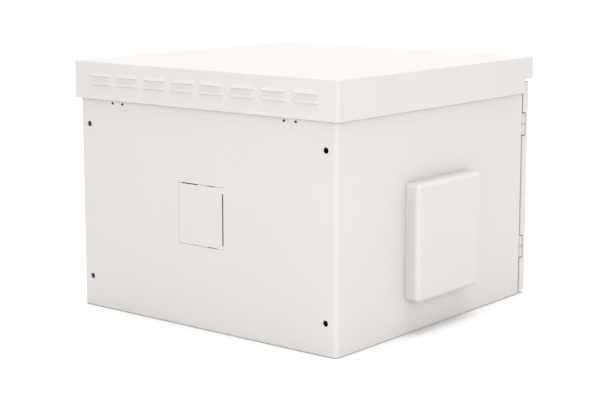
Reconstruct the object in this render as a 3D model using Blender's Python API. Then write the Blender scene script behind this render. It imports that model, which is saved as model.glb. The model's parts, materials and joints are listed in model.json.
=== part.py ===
"""Seven-unit outdoor wall cabinet for 19-inch equipment, as its separate sheet-metal pieces and hardware.

The door is the front and faces -Y. Seen from the front, +X is to the right and +Z is up. The origin is on
the underside, in the middle of the body. The hinges and the filter fan are on the left side, at -X.
"""

import math

import bmesh
import bpy
from mathutils import Matrix, Vector
from mathutils.geometry import tessellate_polygon

# Driving dimensions, in metres.
WIDTH = 0.600
BODY_DEPTH = 0.577
BODY_HEIGHT = 0.403
TOTAL_HEIGHT = 0.460
SHEET = 0.002
ROOF_SHEET = 0.0015
BEND = 0.008
GAP = 0.0003

# The body's faces.
SIDE = WIDTH / 2
REAR = BODY_DEPTH / 2
FRONT = -BODY_DEPTH / 2
INNER_SIDE = SIDE - SHEET
INNER_REAR = REAR - SHEET
PAN_SIDE = INNER_SIDE - GAP
PAN_REAR = INNER_REAR - GAP
PAN_FRONT = FRONT + SHEET + GAP
PAN_BEND = BEND - SHEET
PAN_FLANGE = 0.010
FRAME_RIM = 0.022
CEILING_SLOTS = 9
CEILING_SLOT_PITCH = 0.015
CEILING_SLOT_HALF_LENGTH = 0.080
CEILING_SLOT_HALF_WIDTH = 0.0025

# Roof canopy, which stands proud of the body all round.
ROOF_SIDE = SIDE + 0.007
ROOF_REAR = REAR + 0.007
ROOF_FRONT = FRONT - 0.028
ROOF_BEND = 0.004
SKIRT_BOTTOM = 0.391
FRONT_SKIRT_BOTTOM = 0.418
SKIRT_STEP_Y = FRONT + 0.0025
LOUVRE_COLUMNS = 8
LOUVRE_PITCH = 0.0685
LOUVRE_HALF_WIDTH = 0.0275
LOUVRE_HEIGHT = 0.0075
LOUVRE_DEPTH = 0.003
LOUVRE_END = 0.004
LOUVRE_LIPS = (0.4335, 0.4185)
SPACER_X = 0.150
SPACER_WIDTH = 0.030
SPACER_HALF_LENGTH = 0.235
ROOF_SCREW_Y = 0.180

# Rear wall: wall-fixing holes, bracket screws and the cable knock-out.
WALL_HOLE_X = 0.277
WALL_HOLE_Z = (0.0555, 0.343)
WALL_HOLE_RADIUS = 0.0053
BRACKET_X = 0.202
BRACKET_HALF_WIDTH = 0.022
BRACKET_BOTTOM = 0.372
BRACKET_FOOT = 0.028
BRACKET_SHEET = 0.003
BRACKET_SCREW_HALF_PITCH = 0.0125
BRACKET_SCREW_Z = 0.385
BRACKET_SCREW_LENGTH = 0.010
BRACKET_SCREW_HEAD = 0.0022
BRACKET_SCREW_RISE = 0.0015
BRACKET_SCREW_SHAFT = 0.0013
BRACKET_SCREW_HOLE = 0.0017
KNOCKOUT_Z = 0.203
KNOCKOUT_HALF_WIDTH = 0.0530
KNOCKOUT_HALF_HEIGHT = 0.0550
KNOCKOUT_TOP_SLOTS = ((-0.0345, -0.0145, 0.0013), (0.007, 0.0455, 0.0018))
KNOCKOUT_LOW_SLOTS = ((-0.0365, -0.0150, 0.0012), (0.006, 0.024, 0.0007))
KNOCKOUT_SIDE_SLOT = (-0.048, 0.044, 0.0032)
KNOCKOUT_RECESS = 0.0004
KNOCKOUT_LAP = 0.012

# Floor cable entry.
ENTRY_HALF_WIDTH = 0.120
ENTRY_Y = (0.160, 0.240)
ENTRY_LAP = 0.014
SEAL_THICKNESS = 0.003

# Filter fan on the left side.
FAN_Y = -0.005
FAN_Z = 0.160
HOOD_HALF_WIDTH = 0.100
HOOD_BOTTOM = 0.058
HOOD_TOP = 0.267
HOOD_PROUD = 0.028
HOOD_WALL = 0.004
HOOD_CORNER = 0.011
HOOD_ROUND = 0.009
HOOD_MOUTH_HALF = 0.085
FILTER_FLANGE_HALF = 0.094
FILTER_FLANGE = 0.006
GRILLE_SLOTS = 7
GRILLE_PITCH = 0.020
GRILLE_SLOT_HALF_LENGTH = 0.075
GRILLE_SLOT_HALF_WIDTH = 0.006
SPIGOT_HALF = 0.088
SPIGOT_WALL = 0.003
SPIGOT_INNER_X = -0.2885
FAN_HALF = 0.060
FAN_THICKNESS = 0.025
FAN_BORE = 0.057
FAN_BLADES = 7
BLADE_RADIUS = 0.055
HUB_RADIUS = 0.021
ROTOR_DEPTH = 0.018
ROTOR_INSET = 0.002
STRUT_WIDTH = 0.006
STRUT_THICKNESS = 0.004
MOTOR_BASE_RADIUS = 0.024
GUARD_HALF = 0.0575
GUARD_THICKNESS = 0.0018
GUARD_RINGS = (0.012, 0.023, 0.034, 0.045)
GUARD_SLOT = 0.008
GUARD_SPOKE_HALF = 0.0015

# 19-inch mounting rails, 7 units high, on four depth bars.
UNIT = 0.04445
UNITS = 7
UNIT_HOLES = (0.00635, 0.022225, 0.0381)
RAIL_BOTTOM = 0.0460
RAIL_TOP = RAIL_BOTTOM + UNITS * UNIT
RAIL_HOLE_X = 0.46510 / 2
RAIL_HOLE_HALF = 0.00475
RAIL_INNER_X = 0.2255
RAIL_OUTER_X = 0.2555
RAIL_FLANGE = 0.025
FRONT_RAIL_Y = -0.210
REAR_RAIL_Y = 0.192
FRONT_RAIL_TRAVEL = 0.130
REAR_RAIL_TRAVEL = 0.150
BAR_HALF_LENGTH = 0.245
BAR_WEB_X = RAIL_OUTER_X + GAP
BAR_WEB_HEIGHT = 0.024
BAR_WALL_FLANGE = 0.020
BAR_SLOT_MARGIN = 0.008
RAIL_BOLT_RISE = 0.011
RAIL_BOLT_RADIUS = 0.003
BOLT_HOLE_RADIUS = 0.0034
BOLT_HEX_RADIUS = 0.0055
BOLT_HEAD = 0.004
BOLT_NUT = 0.005
BOLT_END = 0.002
ROOF_SCREW_TIP = 0.010
RAIL_BOLT_INSET = 0.0135

# Door, its seal and its two lift-off hinges.
DOOR_BACK = FRONT - 0.006
DOOR_FRONT = FRONT - 0.024
DOOR_BOTTOM = 0.004
DOOR_TOP = 0.412
DOOR_RETURN = 0.022
SEAL_REST = 0.0005
SEAL_INSET = 0.0025
SEAL_WIDTH = 0.018
HINGE_X = -SIDE + 0.0045
HINGE_Y = FRONT - 0.010
HINGE_BOTTOMS = (0.0710, 0.3095)
HINGE_HEIGHT = 0.042
HINGE_RADIUS = 0.0045
HINGE_PIN_RADIUS = 0.0020
HINGE_KNUCKLE_GAP = 0.001
HINGE_NOTCH_MARGIN = 0.0015
HINGE_NOTCH_X = -SIDE + 0.0115
HINGE_NOTCH_Y = HINGE_Y - 0.005

# Cam lock on the right of the door.
LOCK_X = 0.250
LOCK_Z = (DOOR_BOTTOM + DOOR_TOP) / 2
LOCK_BARREL = 0.010
LOCK_FLANGE = 0.015
LOCK_FLANGE_THICKNESS = 0.004
LOCK_CLEARANCE = 0.0004
LOCK_NUT_RADIUS = 0.0165
LOCK_NUT_THICKNESS = 0.004
LOCK_PLUG = 0.0064
LOCK_PLUG_RECESS = 0.0005
KEYHOLE_HALF_WIDTH = 0.0008
KEYHOLE_HALF_HEIGHT = 0.0042
LOCK_TAIL_HALF = 0.0040
CAM_LENGTH = 0.040
CAM_HALF_WIDTH = 0.009
CAM_THICKNESS = 0.0025
CAM_FRONT = FRONT + 0.0047
STRIKE_X = (0.2767, 0.2947)
STRIKE_HALF_HEIGHT = 0.030
STRIKE_THICKNESS = 0.0018
CAP_PIVOT_RISE = 0.0120
CAP_RADIUS = 0.0092
CAP_EAR_RADIUS = 0.0026
CAP_HOLE_RADIUS = 0.0014
CAP_THICKNESS = 0.0014
RIVET_RADIUS = 0.0010
RIVET_HEAD_RADIUS = 0.0020
RIVET_HEAD = 0.0008

# Thermostat on the right wall.
THERMOSTAT_Z = 0.200
THERMOSTAT_HALF_Y = 0.0165
THERMOSTAT_HALF_Z = 0.030
THERMOSTAT_DEPTH = 0.036
DIAL_RADIUS = 0.0115
DIAL_RISE = 0.010
DIAL_THICKNESS = 0.0030
DIAL_GROOVE = 0.0008

# Finish: colour, roughness and metallic value.
PAINT = ((0.79, 0.77, 0.75), 0.45, 0.0)
ZINC = ((0.62, 0.64, 0.66), 0.35, 0.9)
CHROME = ((0.80, 0.80, 0.81), 0.15, 1.0)
BLACK_STEEL = ((0.03, 0.03, 0.03), 0.45, 0.6)
FOAM = ((0.02, 0.02, 0.02), 0.9, 0.0)
LIGHT_PLASTIC = ((0.75, 0.74, 0.72), 0.5, 0.0)
BLACK_PLASTIC = ((0.025, 0.025, 0.028), 0.5, 0.0)
FILTER_FLEECE = ((0.85, 0.86, 0.85), 0.95, 0.0)

PLANES = {
    "XY": lambda u, v, w: (u, v, w),
    "XZ": lambda u, v, w: (u, w, v),
    "YZ": lambda u, v, w: (w, u, v),
}


# ---- Outlines ----

def rectangle(left, low, right, high):
    return [(left, low), (right, low), (right, high), (left, high)]


def square(centre, half):
    return rectangle(centre[0] - half, centre[1] - half, centre[0] + half, centre[1] + half)


def arc(centre, radius, start, end, steps):
    """Points from one angle to another, in degrees, both ends included."""
    angles = [math.radians(start + (end - start) * i / steps) for i in range(steps + 1)]
    return [(centre[0] + radius * math.cos(a), centre[1] + radius * math.sin(a)) for a in angles]


def circle(centre, radius, sides):
    return arc(centre, radius, 0, 360, sides)[:-1]


def rounded(left, low, right, high, radii, steps=3):
    """A rectangle whose corners, from the low left one round to the high left one, have these radii."""
    corners = [(left, low, 1, 1), (right, low, -1, 1), (right, high, -1, -1), (left, high, 1, -1)]
    points = []
    for turn, ((x, y, x_way, y_way), radius) in enumerate(zip(corners, radii)):
        if radius:
            centre = (x + x_way * radius, y + y_way * radius)
            points += arc(centre, radius, 180 + 90 * turn, 270 + 90 * turn, steps)
        else:
            points.append((x, y))
    return points


# ---- Solids ----

def mesh_object(name, points, faces):
    """An object whose faces all point outwards."""
    mesh = bpy.data.meshes.new(name)
    mesh.from_pydata(points, [], faces)
    shape = bmesh.new()
    shape.from_mesh(mesh)
    bmesh.ops.recalc_face_normals(shape, faces=shape.faces)
    shape.to_mesh(mesh)
    shape.free()
    obj = bpy.data.objects.new(name, mesh)
    bpy.context.scene.collection.objects.link(obj)
    return obj


def prism(name, plane, outline, start, end, holes=()):
    """An outline, less its holes, drawn from start to end along its plane's normal."""
    place = PLANES[plane]
    loops = [outline, *holes]
    flat = [point for loop in loops for point in loop]
    triangles = tessellate_polygon([[Vector((u, v, 0)) for u, v in loop] for loop in loops])
    count = len(flat)
    points = [place(u, v, w) for w in (start, end) for u, v in flat]
    faces = [tuple(i + shift for i in triangle) for shift in (0, count) for triangle in triangles]
    first = 0
    for loop in loops:
        ring = range(first, first + len(loop))
        for a, b in zip(ring, [*ring[1:], ring[0]]):
            faces.append((a, b, b + count, a + count))
        first += len(loop)
    return mesh_object(name, points, faces)


def box(name, low, high):
    return prism(name, "XY", rectangle(low[0], low[1], high[0], high[1]), low[2], high[2])


def turned(name, plane, centre, profile, steps=24, bored=False):
    """A profile of (radius, distance) pairs turned about the plane's normal. A bored one closes on itself."""
    place = PLANES[plane]
    points = []
    for radius, distance in profile:
        points += [place(u, v, distance) for u, v in circle(centre, radius, steps)]
    rings = [range(i * steps, (i + 1) * steps) for i in range(len(profile))]
    faces = []
    for near, far in zip(rings, [*rings[1:], rings[0]] if bored else rings[1:]):
        for i in range(steps):
            j = (i + 1) % steps
            faces.append((near[i], near[j], far[j], far[i]))
    if not bored:
        faces += [tuple(rings[0]), tuple(rings[-1])]
    return mesh_object(name, points, faces)


def joined(tools):
    """One object with the meshes of tools that don't touch each other."""
    shape = bmesh.new()
    for tool in tools:
        shape.from_mesh(tool.data)
        bpy.data.objects.remove(tool)
    mesh = bpy.data.meshes.new("tools")
    shape.to_mesh(mesh)
    shape.free()
    obj = bpy.data.objects.new("tools", mesh)
    bpy.context.scene.collection.objects.link(obj)
    return obj


def combine(target, operation, tools):
    tool = joined(tools)
    modifier = target.modifiers.new(operation.title(), "BOOLEAN")
    modifier.operation = operation
    modifier.object = tool
    graph = bpy.context.evaluated_depsgraph_get()
    mesh = bpy.data.meshes.new_from_object(target.evaluated_get(graph))
    target.modifiers.clear()
    target.data = mesh
    bpy.data.objects.remove(tool)
    return target


def cut(target, *tools):
    return combine(target, "DIFFERENCE", tools)


def fuse(target, *tools):
    for tool in tools:
        combine(target, "UNION", [tool])
    return target


def tray(name, plane, limits, radii, base, rim, sheet):
    """An open tray: a base, at one end of the plane's normal, with walls all round that end at the rim."""
    left, low, right, high = limits
    way = 1 if rim > base else -1
    shell = prism(name, plane, rounded(left, low, right, high, radii), base, rim)
    inside = rounded(
        left + sheet, low + sheet, right - sheet, high - sheet, [max(r - sheet, 0) for r in radii]
    )
    return cut(shell, prism("inside", plane, inside, base + way * sheet, rim + way * 0.01))


def finish(obj, look, smooth=False):
    """The object's own material, and smooth shading on round pieces."""
    colour, roughness, metallic = look
    material = bpy.data.materials.new(obj.name)
    material.use_nodes = True
    shader = material.node_tree.nodes["Principled BSDF"]
    shader.inputs["Base Color"].default_value = (*colour, 1)
    shader.inputs["Roughness"].default_value = roughness
    shader.inputs["Metallic"].default_value = metallic
    material.diffuse_color = (*colour, 1)
    obj.data.materials.clear()
    obj.data.materials.append(material)
    if smooth:
        obj.data.shade_smooth()
        obj.data.set_sharp_from_angle(angle=math.radians(35))
    return obj


def ride(name, pivot, members):
    """Hangs the members on an empty at their joint, with their own origins there too."""
    axis = bpy.data.objects.new(name, None)
    axis.location = pivot
    bpy.context.scene.collection.objects.link(axis)
    for member in members:
        member.data.transform(Matrix.Translation(-Vector(pivot)))
        member.parent = axis
    return axis


def clear_scene():
    for obj in list(bpy.data.objects):
        bpy.data.objects.remove(obj)


# ---- Body ----

def hinge_notch(name, bottom, back):
    """The space kept clear round one hinge, from the door's edge back to this depth."""
    return box(
        name,
        (-SIDE - 0.001, HINGE_NOTCH_Y, bottom - HINGE_NOTCH_MARGIN),
        (HINGE_NOTCH_X, back, bottom + HINGE_HEIGHT + HINGE_NOTCH_MARGIN),
    )


def rear_screw_places():
    return [(side * BRACKET_X + step * BRACKET_SCREW_HALF_PITCH, BRACKET_SCREW_Z)
            for side in (-1, 1) for step in (-1, 1)]


def body_wrap():
    """The rear wall and both side walls, folded from one sheet."""
    outer = rounded(-SIDE, FRONT, SIDE, REAR, (0, 0, BEND, BEND), steps=4)
    inner = rounded(
        -INNER_SIDE, FRONT - 0.01, INNER_SIDE, INNER_REAR, (0, 0, BEND - SHEET, BEND - SHEET), steps=4
    )
    wrap = prism("body_wrap", "XY", outer, 0, BODY_HEIGHT)
    cut(wrap, prism("inside", "XY", inner, -0.01, BODY_HEIGHT + 0.01))
    through = (INNER_REAR - 0.01, REAR + 0.01)
    wall_holes = [
        prism("hole", "XZ", circle((side * WALL_HOLE_X, z), WALL_HOLE_RADIUS, 16), *through)
        for side in (-1, 1) for z in WALL_HOLE_Z
    ]
    screw_holes = [
        prism("hole", "XZ", circle(place, BRACKET_SCREW_HOLE, 8), *through) for place in rear_screw_places()
    ]
    knockout = box(
        "opening",
        (-KNOCKOUT_HALF_WIDTH, through[0], KNOCKOUT_Z - KNOCKOUT_HALF_HEIGHT),
        (KNOCKOUT_HALF_WIDTH, through[1], KNOCKOUT_Z + KNOCKOUT_HALF_HEIGHT),
    )
    fan = prism("opening", "YZ", square((FAN_Y, FAN_Z), SPIGOT_HALF + GAP), -SIDE - 0.01, -INNER_SIDE + 0.01)
    cut(wrap, *wall_holes, *screw_holes, knockout, fan)
    return finish(wrap, PAINT)


def roof_screw_places():
    return [(side * SPACER_X, way * ROOF_SCREW_Y) for side in (-1, 1) for way in (-1, 1)]


def pan_limits():
    return (-PAN_SIDE, PAN_FRONT, PAN_SIDE, PAN_REAR)


def floor_pan():
    floor = tray("floor_pan", "XY", pan_limits(), (0, 0, PAN_BEND, PAN_BEND), 0, SHEET + PAN_FLANGE, SHEET)
    cut(floor, box("opening", (-ENTRY_HALF_WIDTH, ENTRY_Y[0], -0.01), (ENTRY_HALF_WIDTH, ENTRY_Y[1], 0.01)))
    return finish(floor, PAINT)


def ceiling_pan():
    """The sealed top of the body, with slots that let warm air out under the canopy."""
    top = BODY_HEIGHT
    ceiling = tray(
        "ceiling_pan", "XY", pan_limits(), (0, 0, PAN_BEND, PAN_BEND), top, top - SHEET - PAN_FLANGE, SHEET
    )
    middle = (CEILING_SLOTS - 1) / 2
    length = CEILING_SLOT_HALF_LENGTH
    width = CEILING_SLOT_HALF_WIDTH
    slots = [
        box("slot", (-length, y - width, top - 0.01), (length, y + width, top + 0.01))
        for y in [(i - middle) * CEILING_SLOT_PITCH for i in range(CEILING_SLOTS)]
    ]
    holes = [
        prism("hole", "XY", circle(place, BOLT_HOLE_RADIUS, 12), top - 0.01, top + 0.01)
        for place in roof_screw_places()
    ]
    cut(ceiling, *slots, *holes)
    return finish(ceiling, PAINT)


def front_frame():
    """The flat rim round the door opening, which the door seal closes on."""
    low = GAP
    high = BODY_HEIGHT - GAP
    rim = FRAME_RIM
    outline = rectangle(-PAN_SIDE, low, PAN_SIDE, high)
    opening = rectangle(-PAN_SIDE + rim, low + rim, PAN_SIDE - rim, high - rim)
    return finish(prism("front_frame", "XZ", outline, FRONT, FRONT + SHEET, [opening]), PAINT)


def strike_plate():
    """The wear plate behind the front frame that the lock's cam turns behind."""
    front = FRONT + SHEET + GAP
    plate = box(
        "strike_plate",
        (STRIKE_X[0], front, LOCK_Z - STRIKE_HALF_HEIGHT),
        (STRIKE_X[1], front + STRIKE_THICKNESS, LOCK_Z + STRIKE_HALF_HEIGHT),
    )
    return finish(plate, ZINC)


def ceiling_bracket(name, side):
    """An angle that ties the rear wall to the ceiling, behind one pair of screws."""
    back = PAN_REAR - SHEET - GAP
    x_limits = (side * BRACKET_X - BRACKET_HALF_WIDTH, side * BRACKET_X + BRACKET_HALF_WIDTH)
    top = BODY_HEIGHT - SHEET - GAP
    sheet = BRACKET_SHEET
    leg = box(name, (x_limits[0], back - sheet, BRACKET_BOTTOM), (x_limits[1], back, top))
    fuse(leg, box("foot", (x_limits[0], back - BRACKET_FOOT, top - sheet), (x_limits[1], back - 0.001, top)))
    holes = [
        prism("hole", "XZ", circle(place, BRACKET_SCREW_HOLE, 8), back - 0.01, back + 0.001)
        for place in rear_screw_places() if place[0] * side > 0
    ]
    return finish(cut(leg, *holes), ZINC)


def bracket_screw(name, place):
    """A small black button-head screw that comes in through the rear wall."""
    face = REAR + GAP
    head = BRACKET_SCREW_HEAD
    rise = BRACKET_SCREW_RISE
    shaft = BRACKET_SCREW_SHAFT
    profile = [
        (0.4 * head, face + rise), (0.8 * head, face + 0.75 * rise), (head, face),
        (shaft, face), (shaft, face - BRACKET_SCREW_LENGTH),
    ]
    return finish(turned(name, "XZ", place, profile, steps=12), BLACK_STEEL, smooth=True)


# ---- Cable entries ----

def rear_knockout():
    """The plate that is pushed out for cables. The slots round it leave narrow webs that hold it."""
    half_width = KNOCKOUT_HALF_WIDTH - GAP
    half_height = KNOCKOUT_HALF_HEIGHT - GAP
    outline = rectangle(-half_width, KNOCKOUT_Z - half_height, half_width, KNOCKOUT_Z + half_height)
    plate = prism("rear_knockout", "XZ", outline, INNER_REAR, REAR - KNOCKOUT_RECESS)
    through = (INNER_REAR - 0.01, REAR + 0.01)
    top = KNOCKOUT_Z + KNOCKOUT_HALF_HEIGHT
    low = KNOCKOUT_Z - KNOCKOUT_HALF_HEIGHT
    slots = [
        box("slot", (start, through[0], top - width), (end, through[1], top + 0.01))
        for start, end, width in KNOCKOUT_TOP_SLOTS
    ]
    slots += [
        box("slot", (start, through[0], low - 0.01), (end, through[1], low + width))
        for start, end, width in KNOCKOUT_LOW_SLOTS
    ]
    start, end, width = KNOCKOUT_SIDE_SLOT
    slots.append(box(
        "slot",
        (-KNOCKOUT_HALF_WIDTH - 0.01, through[0], KNOCKOUT_Z + start),
        (-KNOCKOUT_HALF_WIDTH + width, through[1], KNOCKOUT_Z + end),
    ))
    return finish(cut(plate, *slots), PAINT)


def rear_entry_parts():
    """The foam pad and the cover plate that close the knock-out from inside."""
    half_width = KNOCKOUT_HALF_WIDTH + KNOCKOUT_LAP
    half_height = KNOCKOUT_HALF_HEIGHT + KNOCKOUT_LAP
    outline = rectangle(-half_width, KNOCKOUT_Z - half_height, half_width, KNOCKOUT_Z + half_height)
    pad_back = INNER_REAR - GAP
    cover_back = pad_back - SEAL_THICKNESS - GAP
    pad = prism("rear_entry_seal", "XZ", outline, pad_back - SEAL_THICKNESS, pad_back)
    cover = prism("rear_entry_cover", "XZ", outline, cover_back - SHEET, cover_back)
    finish(pad, FOAM)
    finish(cover, ZINC)


def floor_entry_parts():
    """The seal and the cover plate over the cable opening in the floor."""
    limits = (-ENTRY_HALF_WIDTH, ENTRY_Y[0], ENTRY_HALF_WIDTH, ENTRY_Y[1])
    outline = rectangle(
        limits[0] - ENTRY_LAP, limits[1] - ENTRY_LAP, limits[2] + ENTRY_LAP, limits[3] + ENTRY_LAP
    )
    seal_bottom = SHEET + GAP
    cover_bottom = seal_bottom + SEAL_THICKNESS + GAP
    seal = prism(
        "floor_entry_seal", "XY", outline, seal_bottom, seal_bottom + SEAL_THICKNESS, [rectangle(*limits)]
    )
    cover = prism("floor_entry_cover", "XY", outline, cover_bottom, cover_bottom + SHEET)
    finish(seal, FOAM)
    finish(cover, PAINT)


# ---- Roof ----

def louvre(x, lip, inset, reach):
    """A wedge that opens downwards at its lip. A larger inset makes the hollow inside it."""
    half = LOUVRE_HALF_WIDTH - inset
    lip_half = half - LOUVRE_END
    top = lip + LOUVRE_HEIGHT - 1.5 * inset
    bottom = lip - inset
    back = ROOF_REAR - reach
    out = ROOF_REAR + LOUVRE_DEPTH - 1.2 * inset
    points = [
        (x - half, back, top), (x + half, back, top), (x + half, back, bottom), (x - half, back, bottom),
        (x - half, ROOF_REAR, top), (x + half, ROOF_REAR, top),
        (x + half, ROOF_REAR, bottom), (x - half, ROOF_REAR, bottom),
        (x + lip_half, out, bottom), (x - lip_half, out, bottom),
    ]
    faces = [
        (0, 1, 2, 3), (0, 1, 5, 4), (1, 2, 6, 5), (2, 3, 7, 6), (3, 0, 4, 7),
        (4, 5, 8, 9), (5, 6, 8), (7, 4, 9), (6, 7, 9, 8),
    ]
    return mesh_object("louvre", points, faces)


def louvres(inset, reach):
    middle = (LOUVRE_COLUMNS - 1) / 2
    return [
        louvre((column - middle) * LOUVRE_PITCH, lip, inset, reach)
        for column in range(LOUVRE_COLUMNS) for lip in LOUVRE_LIPS
    ]


def roof_canopy():
    """The rain canopy: a shallow cap over the body, with pressed louvres in its rear skirt."""
    limits = (-ROOF_SIDE, ROOF_FRONT, ROOF_SIDE, ROOF_REAR)
    canopy = tray("roof_canopy", "XY", limits, (ROOF_BEND,) * 4, TOTAL_HEIGHT, SKIRT_BOTTOM, ROOF_SHEET)
    over_door = box(
        "step", (-SIDE - 0.1, ROOF_FRONT - 0.01, 0.3), (SIDE + 0.1, SKIRT_STEP_Y, FRONT_SKIRT_BOTTOM)
    )
    cut(canopy, over_door)
    combine(canopy, "UNION", louvres(0, 0.0005))
    cut(canopy, *louvres(0.001, 0.003))
    return finish(canopy, PAINT)


def roof_spacer(name, side):
    """A channel that holds the canopy clear of the ceiling, with its open side outwards."""
    low = BODY_HEIGHT + GAP
    high = TOTAL_HEIGHT - ROOF_SHEET - GAP
    inner = side * (SPACER_X - SPACER_WIDTH / 2)
    outer = side * (SPACER_X + SPACER_WIDTH / 2)
    web = inner + side * SHEET
    outline = [
        (inner, low), (outer, low), (outer, low + SHEET), (web, low + SHEET),
        (web, high - SHEET), (outer, high - SHEET), (outer, high), (inner, high),
    ]
    spacer = prism(name, "XZ", outline, -SPACER_HALF_LENGTH, SPACER_HALF_LENGTH)
    holes = [
        prism("hole", "XY", circle(place, BOLT_HOLE_RADIUS, 12), low - 0.01, low + 0.01)
        for place in roof_screw_places() if place[0] * side > 0
    ]
    return finish(cut(spacer, *holes), ZINC)


def hex_bolt(name, plane, centre, head, head_end, tip, nut=None):
    """A hexagon bolt from its head's bearing face to its tip, with a nut on it between two distances."""
    way = 1 if tip > head else -1
    bolt = prism(name, plane, circle(centre, RAIL_BOLT_RADIUS, 12), head - way * 0.001, tip)
    fuse(bolt, prism("head", plane, circle(centre, BOLT_HEX_RADIUS, 6), head_end, head))
    if nut:
        fuse(bolt, prism("nut", plane, circle(centre, BOLT_HEX_RADIUS, 6), *nut))
    return finish(bolt, ZINC)


def roof_screws():
    head = BODY_HEIGHT - SHEET - GAP
    for i, place in enumerate(roof_screw_places()):
        hex_bolt(f"roof_screw_{i + 1}", "XY", place, head, head - BOLT_HEAD, BODY_HEIGHT + ROOF_SCREW_TIP)


# ---- Filter fan ----

def fan_hood():
    """The rain hood over the filter fan. Its outer edges are round, and it is open underneath."""
    left = FAN_Y - HOOD_HALF_WIDTH
    right = FAN_Y + HOOD_HALF_WIDTH
    outer_x = -SIDE - HOOD_PROUD
    outline = rounded(left, HOOD_BOTTOM, right, HOOD_TOP, (HOOD_CORNER,) * 4)
    hood = prism("fan_hood", "YZ", outline, outer_x, -SIDE - GAP)
    shape = bmesh.new()
    shape.from_mesh(hood.data)
    bmesh.ops.dissolve_limit(shape, angle_limit=math.radians(1), verts=shape.verts, edges=shape.edges)
    rim = [e for e in shape.edges if all(abs(v.co.x - outer_x) < 1e-6 for v in e.verts)]
    bmesh.ops.bevel(shape, geom=rim, offset=HOOD_ROUND, segments=3, profile=0.5, affect="EDGES")
    shape.to_mesh(hood.data)
    shape.free()
    hollow = rounded(
        left + HOOD_WALL, HOOD_BOTTOM + HOOD_WALL, right - HOOD_WALL, HOOD_TOP - HOOD_WALL,
        (HOOD_CORNER - HOOD_WALL,) * 4,
    )
    cut(hood, prism("inside", "YZ", hollow, outer_x + HOOD_WALL, -SIDE + 0.01))
    mouth = rectangle(
        FAN_Y - HOOD_MOUTH_HALF, HOOD_BOTTOM - 0.01, FAN_Y + HOOD_MOUTH_HALF, HOOD_BOTTOM + 0.01
    )
    cut(hood, prism("mouth", "YZ", mouth, outer_x + HOOD_ROUND, -SIDE + 0.01))
    return finish(hood, PAINT, smooth=True)


def filter_frame():
    """The plastic frame clipped into the side wall: outer grille, spigot, and the plate the fan sits on."""
    centre = (FAN_Y, FAN_Z)
    flange_back = -SIDE - GAP
    middle = (GRILLE_SLOTS - 1) / 2
    length = GRILLE_SLOT_HALF_LENGTH
    width = GRILLE_SLOT_HALF_WIDTH
    slots = [
        rectangle(FAN_Y - length, z - width, FAN_Y + length, z + width)
        for z in [FAN_Z + (i - middle) * GRILLE_PITCH for i in range(GRILLE_SLOTS)]
    ]
    flange = square(centre, FILTER_FLANGE_HALF)
    frame = prism("filter_frame", "YZ", flange, flange_back - FILTER_FLANGE, flange_back, slots)
    walls = prism(
        "spigot", "YZ", square(centre, SPIGOT_HALF), flange_back - 0.001, SPIGOT_INNER_X,
        [square(centre, SPIGOT_HALF - SPIGOT_WALL)],
    )
    back = prism(
        "back", "YZ", square(centre, SPIGOT_HALF - 0.001), SPIGOT_INNER_X - SHEET, SPIGOT_INNER_X,
        [circle(centre, FAN_BORE, 32)],
    )
    return finish(fuse(frame, walls, back), LIGHT_PLASTIC)


def filter_mat():
    half = SPIGOT_HALF - SPIGOT_WALL - 0.0005
    outline = square((FAN_Y, FAN_Z), half)
    return finish(prism("filter_mat", "YZ", outline, -SIDE, SPIGOT_INNER_X - SHEET - 0.0005), FILTER_FLEECE)


def fan_housing():
    """A square fan frame with a round bore, four struts and the motor's base."""
    centre = (FAN_Y, FAN_Z)
    outer = SPIGOT_INNER_X + GAP
    inner = outer + FAN_THICKNESS
    outline = rounded(
        FAN_Y - FAN_HALF, FAN_Z - FAN_HALF, FAN_Y + FAN_HALF, FAN_Z + FAN_HALF, (0.004,) * 4, steps=2
    )
    housing = prism("fan_housing", "YZ", outline, outer, inner, [circle(centre, FAN_BORE, 32)])
    reach = FAN_BORE + 0.001
    half = STRUT_WIDTH / 2
    level = rectangle(FAN_Y - reach, FAN_Z - half, FAN_Y + reach, FAN_Z + half)
    upright = rectangle(FAN_Y - half, FAN_Z - reach, FAN_Y + half, FAN_Z + reach)
    for outline in (level, upright, circle(centre, MOTOR_BASE_RADIUS, 24)):
        fuse(housing, prism("strut", "YZ", outline, inner - STRUT_THICKNESS, inner))
    return finish(housing, BLACK_PLASTIC)


def blade(angle, near, far):
    """One pitched blade, from inside the hub to the tip, between two distances along the axis."""
    points = []
    for x, turn in ((near, -0.28), (far, 0.28)):
        for radius, lead in ((HUB_RADIUS - 0.003, -0.03), (BLADE_RADIUS, -0.015)):
            for side in (lead, -lead):
                a = angle + turn + side
                points.append((x, FAN_Y + radius * math.cos(a), FAN_Z + radius * math.sin(a)))
    faces = [(0, 1, 3, 2), (4, 5, 7, 6), (0, 1, 5, 4), (2, 3, 7, 6), (0, 2, 6, 4), (1, 3, 7, 5)]
    return mesh_object("blade", points, faces)


def fan_rotor():
    near = SPIGOT_INNER_X + GAP + ROTOR_INSET
    far = near + ROTOR_DEPTH
    rotor = prism("fan_rotor", "YZ", circle((FAN_Y, FAN_Z), HUB_RADIUS, 28), near, far)
    for i in range(FAN_BLADES):
        fuse(rotor, blade(2 * math.pi * i / FAN_BLADES, near + 0.002, far - 0.002))
    return finish(rotor, BLACK_PLASTIC)


def ring_slot(centre, inner, outer, quarter):
    """A quarter of a ring-shaped opening, cut short at both ends by the spokes."""
    start = 90 * quarter
    trim_in = math.degrees(GUARD_SPOKE_HALF / inner)
    trim_out = math.degrees(GUARD_SPOKE_HALF / outer)
    near = arc(centre, inner, start + trim_in, start + 90 - trim_in, 3)
    far = arc(centre, outer, start + trim_out, start + 90 - trim_out, 3)
    return near + far[::-1]


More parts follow.
